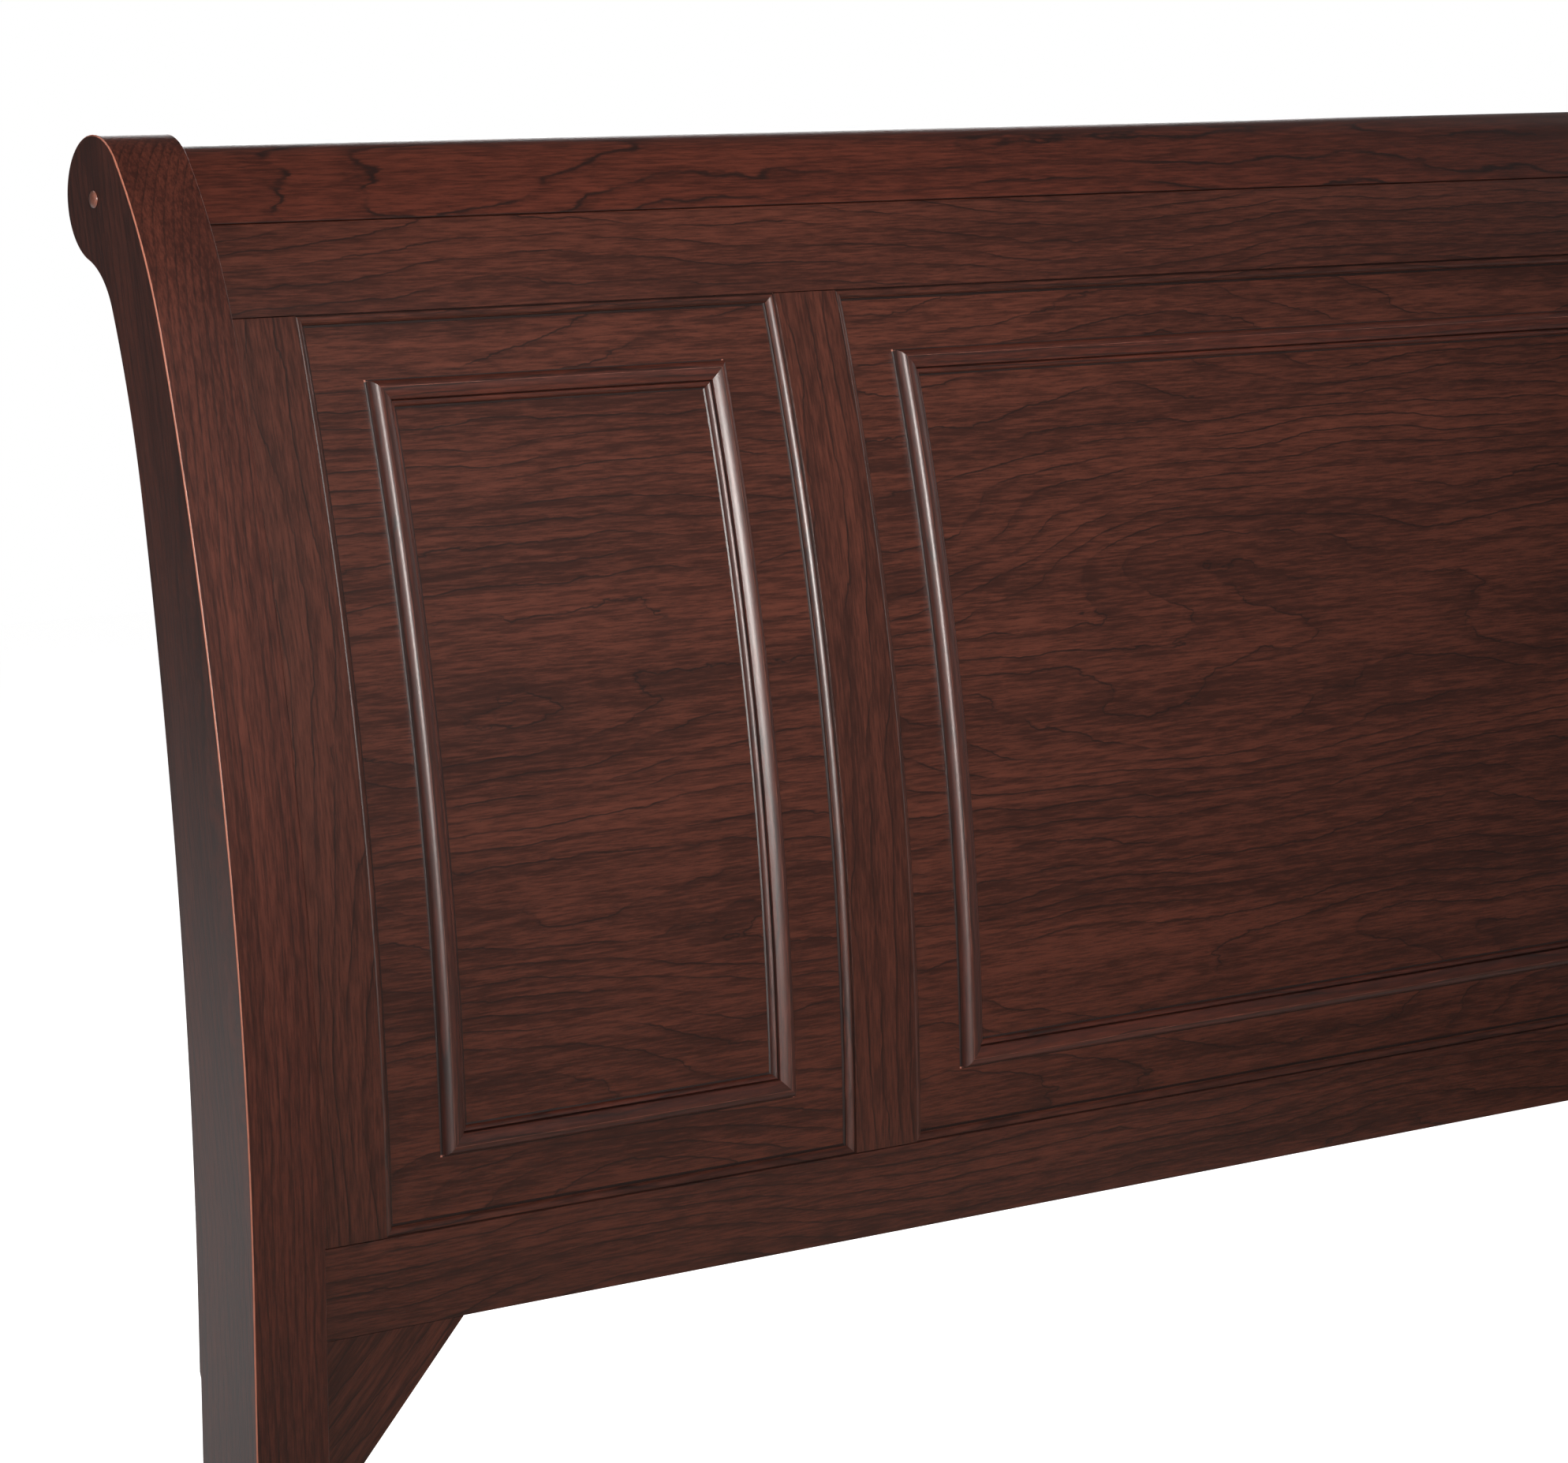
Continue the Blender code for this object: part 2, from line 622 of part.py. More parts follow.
def make_plugs(board):
    """Domed buttons that cover the bolts through the posts into the roll."""
    angles = [math.pi / 2 * index / DOME_STEPS for index in range(DOME_STEPS + 1)]
    dome = [(PLUG_RADIUS * math.sin(angle), PLUG_DOME * math.cos(angle)) for angle in angles]
    profile = dome + [(PLUG_STEM, 0.0), (PLUG_STEM, -PLUG_LENGTH), (0.0, -PLUG_LENGTH)]
    for side, sign in SIDES:
        place = (sign * (HALF_WIDTH + GAP), board.face_y + board.scroll[0], board.scroll[1])
        turned(f"{board.name}_plug_{side}", profile, WOOD_FINISH, place, (0, sign * math.pi / 2, 0))


def make_board(board, frame_maker):
    grooves = make_panels(board)
    housings = make_frame(board, grooves)
    make_roll(board)
    make_posts(board, housings)
    for name, low, high, margins in openings(board):
        frame_maker(board, name, frame_area(board, low, high, margins))


# ---- the base ----------------------------------------------------------------------------------
def make_side_rails():
    """Side rails with the ledgers that carry the slats and pockets for the hook plates."""
    outer = HALF_WIDTH - SIDE_RAIL_INSET
    inner = outer - SIDE_RAIL_THICKNESS
    half_length = MATTRESS_SPACE / 2 - GAP
    top = SIDE_RAIL_BOTTOM + SIDE_RAIL_HEIGHT
    middle = (SIDE_RAIL_BOTTOM + top) / 2
    centre = (inner + outer) / 2
    for side, sign in SIDES:
        ends = sorted((sign * inner, sign * outer))
        rail = box(f"side_rail_{side}", (ends[0], MIDDLE - half_length, SIDE_RAIL_BOTTOM),
                   (ends[1], MIDDLE + half_length, top), WOOD_FINISH)
        ends = sorted((sign * (inner - GAP - LEDGER_SIZE), sign * (inner - GAP)))
        box(f"slat_ledger_{side}", (ends[0], MIDDLE - LEDGER_LENGTH / 2, LEDGER_BOTTOM),
            (ends[1], MIDDLE + LEDGER_LENGTH / 2, LEDGER_BOTTOM + LEDGER_SIZE), SLAT_FINISH)
        for end, lean in (("head", 1), ("foot", -1)):
            face = MIDDLE + lean * MATTRESS_SPACE / 2
            half = HOOK_THICKNESS / 2
            slit = half + GAP
            span = sorted((face - lean * (HOOK_PLATE_DEPTH + GAP), face + lean * OVERCUT))
            tall = HOOK_PLATE_HEIGHT / 2 + GAP
            pocket = hole_box(f"{rail.name}_pocket_{end}", (sign * centre - slit, span[0], middle - tall),
                              (sign * centre + slit, span[1], middle + tall))
            cut(rail, [pocket])
            outline = [(face + lean * y, middle + z) for y, z in hook_outline()]
            plate(f"rail_hook_{end}_{side}", outline, sign * centre - half, sign * centre + half,
                  STEEL_FINISH)


def hook_outline():
    """Steel plate with two hooks that reach into the post: (distance past the rail end, height)."""
    tall = HOOK_PLATE_HEIGHT / 2
    tip = HOOK_REACH / 2
    points = [(-HOOK_PLATE_DEPTH, tall), (-HOOK_PLATE_DEPTH, -tall), (-GAP, -tall)]
    for middle in (-HOOK_SPACING / 2, HOOK_SPACING / 2):
        low, high = middle - HOOK_NECK / 2, middle + HOOK_NECK / 2
        points += [(-GAP, low), (tip, low), (tip, low - HOOK_DROP), (HOOK_REACH, low - HOOK_DROP),
                   (HOOK_REACH, high), (-GAP, high)]
    return points + [(-GAP, tall)]


def make_slats():
    """Slats on the ledgers; the two middle ones stand on legs with levelling feet."""
    half_length = HALF_WIDTH - SIDE_RAIL_INSET - SIDE_RAIL_THICKNESS - SLAT_END_GAP
    bottom = LEDGER_BOTTOM + LEDGER_SIZE + GAP
    pitch = MATTRESS_SPACE / SLAT_COUNT
    for index in range(SLAT_COUNT):
        y = MIDDLE + (index - (SLAT_COUNT - 1) / 2) * pitch
        box(f"slat_{index + 1}", (-half_length, y - SLAT_WIDTH / 2, bottom),
            (half_length, y + SLAT_WIDTH / 2, bottom + SLAT_THICKNESS), SLAT_FINISH)
    for end, lean in (("foot", -1), ("head", 1)):
        make_leg(end, MIDDLE + lean * pitch / 2, bottom - GAP)


def make_leg(end, y, top):
    """Leg with a bore for the stud of its levelling foot, which screws up into it."""
    half = LEG_SIDE / 2
    leg = box(f"centre_leg_{end}", (-half, y - half, LEG_BOTTOM), (half, y + half, top), SLAT_FINISH)
    low, high = LEG_BOTTOM - OVERCUT, BORE_TOP
    cut(leg, [rod(f"{leg.name}_bore", (0, y, (low + high) / 2), STUD_RADIUS + BORE_CLEARANCE, high - low)])
    profile = [(0, STUD_TOP), (STUD_RADIUS, STUD_TOP), (STUD_RADIUS, FOOT_PAD_HEIGHT),
               (FOOT_PAD_RADIUS, FOOT_PAD_HEIGHT), (FOOT_PAD_RADIUS, 0), (0, 0)]
    turned(f"levelling_foot_{end}", profile, RUBBER_FINISH, (0, y, 0))


def main():
    headboard = Board("head", 1, HEAD_STRAIGHT, HEAD_FRONT_ARCS, HEAD_BACK_STRAIGHT, HEAD_BACK_ARC,
                      HEAD_BACK_END, HEAD_RUNS)
    footboard = Board("foot", -1, FOOT_STRAIGHT, FOOT_FRONT_ARCS, FOOT_BACK_STRAIGHT, FOOT_BACK_ARC,
                      FOOT_BACK_END, FOOT_RUNS)
    make_board(headboard, make_mitred_frame)
    make_braces(headboard)
    make_plugs(headboard)
    make_board(footboard, make_joined_frame)
    make_side_rails()
    make_slats()


main()
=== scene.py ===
# %% [markdown]
# # A sleigh bed in dark cherry
# A sleigh bed has a headboard and a footboard that curl away from the sleeper and end in a round
# scroll. Each board is a frame of posts, rails, stiles and mullions that holds three panels, and a
# moulding is planted on every panel. Side rails hang between the boards and carry the slats.
#
# The engineering model fixes every size, so the first step is to load it. Each visible piece of
# wood is then made again with soft edges, milled profiles and grain, exactly where its plain solid
# lies, and stands in for that solid.

# %% Load the model
import math

import bmesh
import bpy
from mathutils import Matrix, Vector


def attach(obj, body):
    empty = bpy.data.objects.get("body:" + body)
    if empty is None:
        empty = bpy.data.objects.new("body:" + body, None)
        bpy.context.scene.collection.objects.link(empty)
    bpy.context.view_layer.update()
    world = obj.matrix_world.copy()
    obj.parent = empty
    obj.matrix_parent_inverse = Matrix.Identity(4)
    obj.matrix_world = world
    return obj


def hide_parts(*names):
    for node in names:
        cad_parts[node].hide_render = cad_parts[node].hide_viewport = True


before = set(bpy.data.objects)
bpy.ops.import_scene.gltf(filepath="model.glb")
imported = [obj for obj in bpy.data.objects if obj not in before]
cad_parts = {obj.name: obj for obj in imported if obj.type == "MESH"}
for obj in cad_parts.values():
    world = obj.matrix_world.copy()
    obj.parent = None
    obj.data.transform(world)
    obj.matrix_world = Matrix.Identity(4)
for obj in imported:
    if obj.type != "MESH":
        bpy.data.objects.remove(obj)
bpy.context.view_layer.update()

# %% [markdown]
# ## Sizes
# The driving sizes of the bed are named once, in metres, and everything below is worked out from
# them. X runs across the bed, +Y points to the headboard and +Z up.

# %% The driving sizes
HALF_WIDTH = 0.830
POST_WIDTH = 0.048
POST_DEPTH = 0.0742
MATTRESS_SPACE = 2.060
SCROLL_RADIUS = 0.038
NECK_RADIUS = 0.0472
ROLL_INSET = 0.0075
FOOT_FACE_DEPTH = 0.052
FRAME_THICKNESS = 0.022
STILE_WIDTH = 0.0452
MULLION_WIDTH = 0.0474
SIDE_OPENING = 0.3398
STICKING_WIDTH = 0.0066
PANEL_DROP = 0.006
PANEL_THICKNESS = 0.009
MOULDING_WIDTH = 0.017
MOULDING_HEIGHT = 0.008
GAP = 0.0003
BRACE_LEG = 0.097
BRACE_HEIGHT = 0.111
BRACE_THICKNESS = 0.020
BRACE_SETBACK = 0.001
PLUG_RADIUS = 0.0052
PLUG_DOME = 0.0020
PLUG_STEM = 0.0045
PLUG_REACH = 0.004           # of its stem into the post
SIDE_RAIL_THICKNESS = 0.025
SIDE_RAIL_INSET = 0.0115
SIDE_RAIL_BOTTOM = 0.185
SIDE_RAIL_HEIGHT = 0.200
LEDGER_SIZE = 0.025
LEDGER_LENGTH = 1.900
LEDGER_BOTTOM = 0.190
SLAT_WIDTH = 0.090
SLAT_THICKNESS = 0.020
SLAT_COUNT = 4
SLAT_END_GAP = 0.006
LEG_SIDE = 0.045
LEG_BOTTOM = 0.030
FOOT_PAD_RADIUS = 0.019
FOOT_PAD_HEIGHT = 0.012
STUD_RADIUS = 0.005
STUD_TOP = 0.055
BORE_TOP = 0.075
BORE_CLEARANCE = 0.0004

INNER_FACE = HALF_WIDTH - POST_WIDTH
STILE_EDGE = INNER_FACE - STILE_WIDTH
MULLION_OUTER = STILE_EDGE - SIDE_OPENING
MULLION_INNER = MULLION_OUTER - MULLION_WIDTH
SIDES = (("left", -1), ("right", 1))
print("panel openings:", SIDE_OPENING, "and", round(2 * MULLION_INNER, 4), "metres wide")

# %% [markdown]
# ## The sleigh curve
# Seen from the side, the face of a board is straight at first and then leans back along two arcs
# that flow into the scroll. A carpenter would call the length along that curve the run. A piece of
# the frame is drawn flat, with its run as one of its coordinates, and bent over the curve later,
# the way a laminated board is bent over a form.

# %% The curve of a board
def into_wood(angle):
    """Direction from the face into the wood, where the curve leans back by angle."""
    return math.cos(angle), -math.sin(angle)


def stepped(centre, radius, angle):
    """Point on an arc: its centre less the radius along the direction into the wood."""
    across, up = into_wood(angle)
    return centre[0] - radius * across, centre[1] - radius * up


def arc_between(centre, radius, start, end, step):
    """Points of an arc from start to end, both included, at most step radians apart."""
    count = max(1, math.ceil(abs(end - start) / step))
    return [stepped(centre, radius, start + (end - start) * i / count) for i in range(count + 1)]


class Board:
    """Headboard or footboard: its curve, its place on the bed and the way it leans."""

    def __init__(self, name, lean, straight, arcs, back, runs):
        self.name = name
        self.lean = lean
        self.straight = straight
        self.back_straight, self.back_radius, self.back_angle, self.neck_angle = back
        self.runs = runs
        self.arcs = []
        point = (0.0, straight)
        angle = 0.0
        for radius, end in arcs:
            centre = stepped(point, -radius, angle)
            self.arcs.append((centre, radius, angle, end))
            point = stepped(centre, radius, end)
            angle = end
        self.scroll = stepped(point, -SCROLL_RADIUS, angle)
        self.reach = self.scroll[0] + SCROLL_RADIUS
        self.face_offset = -ROLL_INSET if lean > 0 else FOOT_FACE_DEPTH

    def at(self, run, depth=0.0):
        """Point (outward, height) at a run along the curve and a depth behind it."""
        if run <= 0:
            return depth, self.straight + run
        for centre, radius, start, end in self.arcs:
            length = radius * (end - start)
            if run <= length:
                break
            run -= length
        else:
            run += length
        return stepped(centre, radius - depth, start + run / radius)

    def length(self):
        return sum(radius * (end - start) for _, radius, start, end in self.arcs)


HEADBOARD = Board("head", 1, 0.553, ((1.715, math.radians(18.8)), (0.314, math.radians(40))),
                  (0.523, 2.436, math.radians(11.5), math.radians(23.1)),
                  (-0.0376, 0.0190, 0.5746, 0.6358))
FOOTBOARD = Board("foot", -1, 0.400, ((0.950, math.radians(15)), (0.250, math.radians(40))),
                  (0.385, 1.500, math.radians(6), math.radians(20)),
                  (-0.2000, -0.1436, 0.2170, 0.2710))
BOARDS = (HEADBOARD, FOOTBOARD)
MIDDLE = (FOOTBOARD.reach - HEADBOARD.reach) / 2
for board in BOARDS:
    board.face_y = MIDDLE + board.lean * MATTRESS_SPACE / 2
    print(board.name, "face at y", round(board.face_y, 4), "scroll centre", board.scroll)

# %% [markdown]
# ## Node trees as Python
# Wood grain is arithmetic on coordinates. Wiring dozens of Math nodes by hand hides the formula,
# so a small class stands for a number on a socket: adding or multiplying two of them adds the
# Math node. Any other node comes from one method that takes its type, settings and sockets. The
# same two classes serve the materials and the Geometry Nodes trees.

# %% A value on a socket, and a tree that makes nodes
class Value:
    """A number that varies. Python's operators on it add Math nodes to its tree."""

    def __init__(self, tree, socket):
        self.tree = tree
        self.socket = socket

    def __add__(self, other):
        return self.tree.math("ADD", self, other)

    def __sub__(self, other):
        return self.tree.math("SUBTRACT", self, other)

    def __rsub__(self, other):
        return self.tree.math("SUBTRACT", other, self)

    def __mul__(self, other):
        return self.tree.math("MULTIPLY", self, other)

    def __truediv__(self, other):
        return self.tree.math("DIVIDE", self, other)

    __radd__ = __add__
    __rmul__ = __mul__


class Tree:
    """A node tree, for a material or for Geometry Nodes."""

    def __init__(self, nodes_owner):
        self.owner = nodes_owner

    def node(self, kind, settings=None, sockets=None):
        """Add a node: its settings are set first, then its sockets, by name or by number."""
        made = self.owner.nodes.new(kind)
        for name, setting in (settings or {}).items():
            setattr(made, name, setting)
        for name, given in (sockets or {}).items():
            source = given.socket if isinstance(given, Value) else given
            if isinstance(source, bpy.types.NodeSocket):
                self.owner.links.new(source, made.inputs[name])
            else:
                made.inputs[name].default_value = source
        return made.outputs

    def math(self, operation, *terms):
        settings = {"operation": operation}
        return Value(self, self.node("ShaderNodeMath", settings, dict(enumerate(terms)))[0])

    def vector(self, x, y, z):
        return self.node("ShaderNodeCombineXYZ", None, {"X": x, "Y": y, "Z": z})[0]

    def split(self, vector):
        outputs = self.node("ShaderNodeSeparateXYZ", None, {0: vector})
        return [Value(self, outputs[axis]) for axis in "XYZ"]


# %% [markdown]
# ## Bending a flat piece over the curve
# The bend is a Geometry Nodes tree. It keeps the flat position of every point in an attribute
# named grain, turned so that its first number runs along the fibres, because that is where the
# point lay in the tree the board was sawn from. Then it looks up the place on the sleigh curve at
# the point's run, and steps off that curve by the point's height above the face.

# %% Tools for Geometry Nodes
FIBRES = "grain"
# The wear mark on each point: above zero the wood is rubbed lighter, below zero shade is painted dark.
WEAR_AND_SHADE = "wear"
MITRE = "mitre"
MILLED = "milled"


def new_group(name, inputs):
    """Empty Geometry Nodes group with these named inputs, and the tree and the values of them."""
    group = bpy.data.node_groups.new(name, "GeometryNodeTree")
    group.interface.new_socket(name="Geometry", in_out="INPUT", socket_type="NodeSocketGeometry")
    for label, kind in inputs:
        group.interface.new_socket(name=label, in_out="INPUT", socket_type="NodeSocket" + kind)
    group.interface.new_socket(name="Geometry", in_out="OUTPUT", socket_type="NodeSocketGeometry")
    tree = Tree(group)
    return tree, tree.node("NodeGroupInput")


def close_group(tree, geometry, finish):
    """End a tree: instances become real, and the material is set."""
    real = tree.node("GeometryNodeRealizeInstances", None, {"Geometry": geometry})[0]
    finished = tree.node("GeometryNodeSetMaterial", None, {"Geometry": real, "Material": finish})[0]
    tree.node("NodeGroupOutput", None, {"Geometry": finished})


def add_group(item, tree, values):
    """Put a Geometry Nodes modifier on an object and set its named inputs."""
    modifier = item.modifiers.new(tree.owner.name, "NODES")
    modifier.node_group = tree.owner
    sockets = {entry.name: entry.identifier for entry in tree.owner.interface.items_tree}
    for name, value in values.items():
        modifier[sockets[name]] = value


def show(name, mesh):
    item = bpy.data.objects.new(name, mesh)
    bpy.context.scene.collection.objects.link(item)
    return item


def applied(item):
    """The object with its modifiers worked into a plain mesh of its own."""
    name = item.name
    evaluated = item.evaluated_get(bpy.context.evaluated_depsgraph_get())
    mesh = bpy.data.meshes.new_from_object(evaluated)
    bpy.data.objects.remove(item, do_unlink=True)
    mesh.name = name
    return show(name, mesh)


# %% The bending tree
def make_bending_tree():
    inputs = (("Sleigh Curve", "Object"), ("First Run", "Float"), ("Face Offset", "Float"),
              ("Grain Turn", "Float"), ("Grain Shift", "Vector"), ("Finish", "Material"))
    tree, given = new_group("bend_over_sleigh_curve", inputs)
    flat = tree.node("GeometryNodeInputPosition")[0]
    turned = tree.node("ShaderNodeVectorRotate", {"rotation_type": "Z_AXIS", "invert": True},
                       {"Vector": flat, "Angle": given["Grain Turn"]})[0]
    shifted = tree.node("ShaderNodeVectorMath", {"operation": "ADD"},
                        {0: turned, 1: given["Grain Shift"]})[0]
    kept = tree.node("GeometryNodeStoreNamedAttribute", {"data_type": "FLOAT_VECTOR"},
                     {"Geometry": given["Geometry"], "Name": FIBRES, "Value": shifted})[0]
    x, run, height = tree.split(flat)
    curve = tree.node("GeometryNodeObjectInfo", None, {"Object": given["Sleigh Curve"]})["Geometry"]
    place = tree.node("GeometryNodeSampleCurve", {"mode": "LENGTH"},
                      {"Curves": curve, "Length": run - Value(tree, given["First Run"])})
    _, y, z = tree.split(place["Position"])
    outward = tree.node("ShaderNodeVectorMath", {"operation": "CROSS_PRODUCT"},
                        {0: (1, 0, 0), 1: place["Tangent"]})[0]
    _, out_y, out_z = tree.split(outward)
    above = height + Value(tree, given["Face Offset"])
    bent = tree.vector(x, y + out_y * above, z + out_z * above)
    moved = tree.node("GeometryNodeSetPosition", None, {"Geometry": kept, "Position": bent})[0]
    close_group(tree, moved, given["Finish"])
    return tree


BENDING = make_bending_tree()
GUIDE_STEP = 0.004
GUIDES = []


def guide_curve(board):
    """The board's face curve in its place on the bed, from the floor to the scroll."""
    last = board.length() + SCROLL_RADIUS
    count = round((board.straight + last) / GUIDE_STEP)
    points = [board.at(-board.straight + (board.straight + last) * i / count) for i in range(count + 1)]
    curve = bpy.data.curves.new(board.name + "_guide", "CURVE")
    curve.dimensions = "3D"
    spline = curve.splines.new("POLY")
    spline.points.add(len(points) - 1)
    for point, (outward, height) in zip(spline.points, points):
        point.co = (0, board.face_y + board.lean * outward, height, 1)
    board.guide = show(board.name + "_guide", curve)
    GUIDES.append(board.guide)
    return len(points)


for board in BOARDS:
    print(board.name, "guide curve:", guide_curve(board), "points")

# %% [markdown]
# ## Cherry
# Cherry boards show long lazy figures. A board is a slice through the growth rings of a trunk:
# where the rings are cut at a flat angle they draw wide tongues and closed ovals, and where they
# are cut squarely they draw straight lines. The rings could be worked out in the round, as shells
# about the trunk's axis. Here the year of growth is a height over the board instead, like a
# landscape of slow hills on a steady slope, and the ring lines are its contours: a hill draws
# ovals, the slope draws straight lines, and both are easy to balance. The grain attribute says
# which part of that landscape a piece shows.
#
# Over the rings come broad light and dark streaks, a fine fibre and short dark flecks. The stain
# is a dark reddish brown under a satin lacquer. Shade is painted dark into the grooves, the joints
# and along eased edges, and the stain is rubbed lighter on the posts' edges, on the sharp lines of
# the profiles and at the mitres.

# %% Noise, ramps and mixes
def noise(tree, coordinates, detail=2.0, roughness=0.5, seed=0.0):
    """Perlin noise from 0 to 1 at coordinates that are already scaled."""
    outputs = tree.node("ShaderNodeTexNoise", {"noise_dimensions": "4D"},
                        {"Vector": coordinates, "W": seed, "Scale": 1.0, "Detail": detail,
                         "Roughness": roughness})
    return Value(tree, outputs["Fac"])


def ramp(tree, value, low, high, to_low=0.0, to_high=1.0):
    """Smooth change from to_low to to_high while value goes from low to high."""
    outputs = tree.node("ShaderNodeMapRange", {"interpolation_type": "SMOOTHSTEP"},
                        {"Value": value, "From Min": low, "From Max": high,
                         "To Min": to_low, "To Max": to_high})
    return Value(tree, outputs["Result"])


def mix(tree, factor, low, high):
    """Colour between low and high."""
    settings = {"data_type": "RGBA", "blend_type": "MIX", "clamp_factor": True}
    return tree.node("ShaderNodeMix", settings, {0: factor, 6: low, 7: high})[2]


def attribute(tree, name, output="Fac"):
    return tree.node("ShaderNodeAttribute", {"attribute_name": name})[output]


# %% The figure of the wood
LINE_WIDTH = 0.00075         # of the dark line that ends a year's growth
PROBE = 0.0004               # step over which the closeness of the rings is measured


def ring_height(tree, along, across, depth, seed, drift, hills):
    """The year of growth that a point belongs to, as a number that runs on without steps."""
    slow = noise(tree, tree.vector(along * 2.1, across * 8.0, depth * 8.0), 1.0, 0.4, seed)
    quick = noise(tree, tree.vector(along * 10.0, across * 30, depth * 30), 2.0, 0.5, seed + 3)
    jagged = noise(tree, tree.vector(along * 55, across * 160, depth * 160), 2.0, 0.6, seed + 5)
    return slow * hills + quick * 1.6 + jagged * 0.32 + (across + depth) * drift


def growth_rings(tree, along, across, depth, seed, drift=55.0, hills=14.0):
    """Dark ring lines of an even width, and the soft shade on one side of each."""
    year = ring_height(tree, along, across, depth, seed, drift, hills)
    beside = ring_height(tree, along, across + PROBE, depth, seed, drift, hills)
    closeness = tree.math("ABSOLUTE", beside - year) / PROBE + 9.0
    phase = tree.math("FRACT", year)
    away = tree.math("ABSOLUTE", phase - 0.5) / closeness
    faded = noise(tree, tree.vector(along * 9.0, across * 75, depth * 75), 2.0, 0.6, seed + 7)
    strength = ramp(tree, faded, 0.36, 0.56)
    line = ramp(tree, away, 0.0, LINE_WIDTH, 1.0, 0.0) * strength
    shade = ramp(tree, phase, 0.05, 0.5) * ramp(tree, phase, 0.5, 0.56, 1.0, 0.0)
    return line, shade


# %% The cherry material
PAINTED_SHADE = (0.008, 0.0035, 0.0028, 1)     # painted shade: dark colour put into grooves, joints and eased edges where shade falls


def cherry(name, dark, light, ring, seed=0.0, roughness=0.38, coat=0.25,
           worn=(0.42, 0.17, 0.12, 1), drift=55.0, hills=14.0, lined=0.9, gloss=0.5,
           film=0.34):
    """Stained cherry: its stain's dark and light colours, the colour of its ring lines."""
    material = bpy.data.materials.new(name)
    material.use_nodes = True
    tree = Tree(material.node_tree)
    shader = material.node_tree.nodes["Principled BSDF"]
    along, across, depth = tree.split(attribute(tree, FIBRES, "Vector"))
    line, shade = growth_rings(tree, along, across, depth, seed, drift, hills)
    bands = noise(tree, tree.vector(along * 1.7, across * 42, depth * 42), 4.0, 0.6, seed + 11)
    patches = noise(tree, tree.vector(along * 4.5, across * 11, depth * 11), 1.0, 0.5, seed + 13)
    fibre = noise(tree, tree.vector(along * 40, across * 600, depth * 600), 4.0, 0.75, seed + 17)
    flecks = noise(tree, tree.vector(along * 170, across * 800, depth * 800), 2.0, 0.6, seed + 19)
    tone = bands * 0.56 + patches * 0.14 + ramp(tree, fibre, 0.32, 0.68) * 0.30 - shade * 0.08
    body = mix(tree, ramp(tree, tone, 0.30, 0.80), dark, light)
    ringed = mix(tree, line * lined, body, ring)
    flecked = mix(tree, ramp(tree, flecks, 0.58, 0.76, 0.0, 0.46), ringed, ring)
    edge = Value(tree, attribute(tree, WEAR_AND_SHADE))
    # Painted shade: where the mark is below zero, the colour darkens towards the dark shade colour.
    with_painted_shade = mix(tree, ramp(tree, 0 - edge, 0.1, 0.8, 0.0, 0.9), flecked, PAINTED_SHADE)
    corner = tree.math("MAXIMUM", edge, Value(tree, attribute(tree, MITRE)))
    rubbed = noise(tree, tree.vector(along * 60, across * 400, depth * 400), 2.0, 0.5, seed + 23)
    rub = ramp(tree, corner * (rubbed + 0.45), 0.35, 0.95)
    colour = mix(tree, rub, with_painted_shade, worn)
    milled = Value(tree, attribute(tree, MILLED))
    sheen = fibre * 0.16 + bands * 0.06 + (roughness - 0.11) + milled * rubbed * 0.16
    relief = tree.node("ShaderNodeBump", None,
                       {"Strength": 0.3, "Distance": 0.0004, "Height": fibre * 0.7 - flecks * 0.4})[0]
    tree.owner.links.new(colour, shader.inputs["Base Color"])
    tree.owner.links.new(sheen.socket, shader.inputs["Roughness"])
    tree.owner.links.new(relief, shader.inputs["Normal"])
    tree.owner.links.new((milled * (1 - coat) + coat).socket, shader.inputs["Coat Weight"])
    shader.inputs["Coat Roughness"].default_value = film
    shader.inputs["Specular IOR Level"].default_value = gloss
    return material


FRAME_CHERRY = cherry("cherry_frame", (0.030, 0.0080, 0.0048, 1), (0.108, 0.0290, 0.0165, 1),
                      (0.012, 0.0042, 0.0030, 1), seed=2.0, drift=90.0, hills=11.0)
PANEL_CHERRY = cherry("cherry_panel", (0.030, 0.0080, 0.0048, 1), (0.110, 0.0295, 0.0165, 1),
                      (0.011, 0.0040, 0.0030, 1), seed=8.0)
ROLL_CHERRY = cherry("cherry_roll", (0.034, 0.0074, 0.0040, 1), (0.112, 0.0250, 0.0132, 1),
                     (0.012, 0.0040, 0.0028, 1), seed=14.0, drift=110.0, hills=10.0)
POST_CHERRY = cherry("cherry_post", (0.036, 0.0084, 0.0050, 1), (0.124, 0.0305, 0.0170, 1),
                     (0.012, 0.0042, 0.0030, 1), seed=21.0, worn=(0.55, 0.20, 0.13, 1), drift=150.0,
                     hills=8.0, lined=0.5)
MOULDING_CHERRY = cherry("cherry_moulding", (0.034, 0.0072, 0.0038, 1), (0.105, 0.0225, 0.0115, 1),
                         (0.012, 0.0040, 0.0028, 1), seed=29.0, roughness=0.42, coat=0.2,
                         drift=150.0, hills=8.0, gloss=0.6, film=0.38)
PLUG_CHERRY = cherry("cherry_plug", (0.200, 0.075, 0.050, 1), (0.330, 0.130, 0.090, 1),
                     (0.120, 0.045, 0.030, 1), seed=37.0, roughness=0.24, coat=0.6)
print("cherry finishes:", 6)

# %% [markdown]
# ## Rails, stiles, mullions and panels
# Each of these is a flat board before it is bent. It starts as a box whose edges are eased with a
# small bevel, as a sanded board's are, and then it is cut across at even runs, because only a
# mesh with vertices along its length can bend. The middle of every eased edge is marked, and the
# finish paints shade dark there, a dark line where the parts meet.

# %% A flat board with eased edges
EASED = 0.0005
BEND_STEP = 0.008


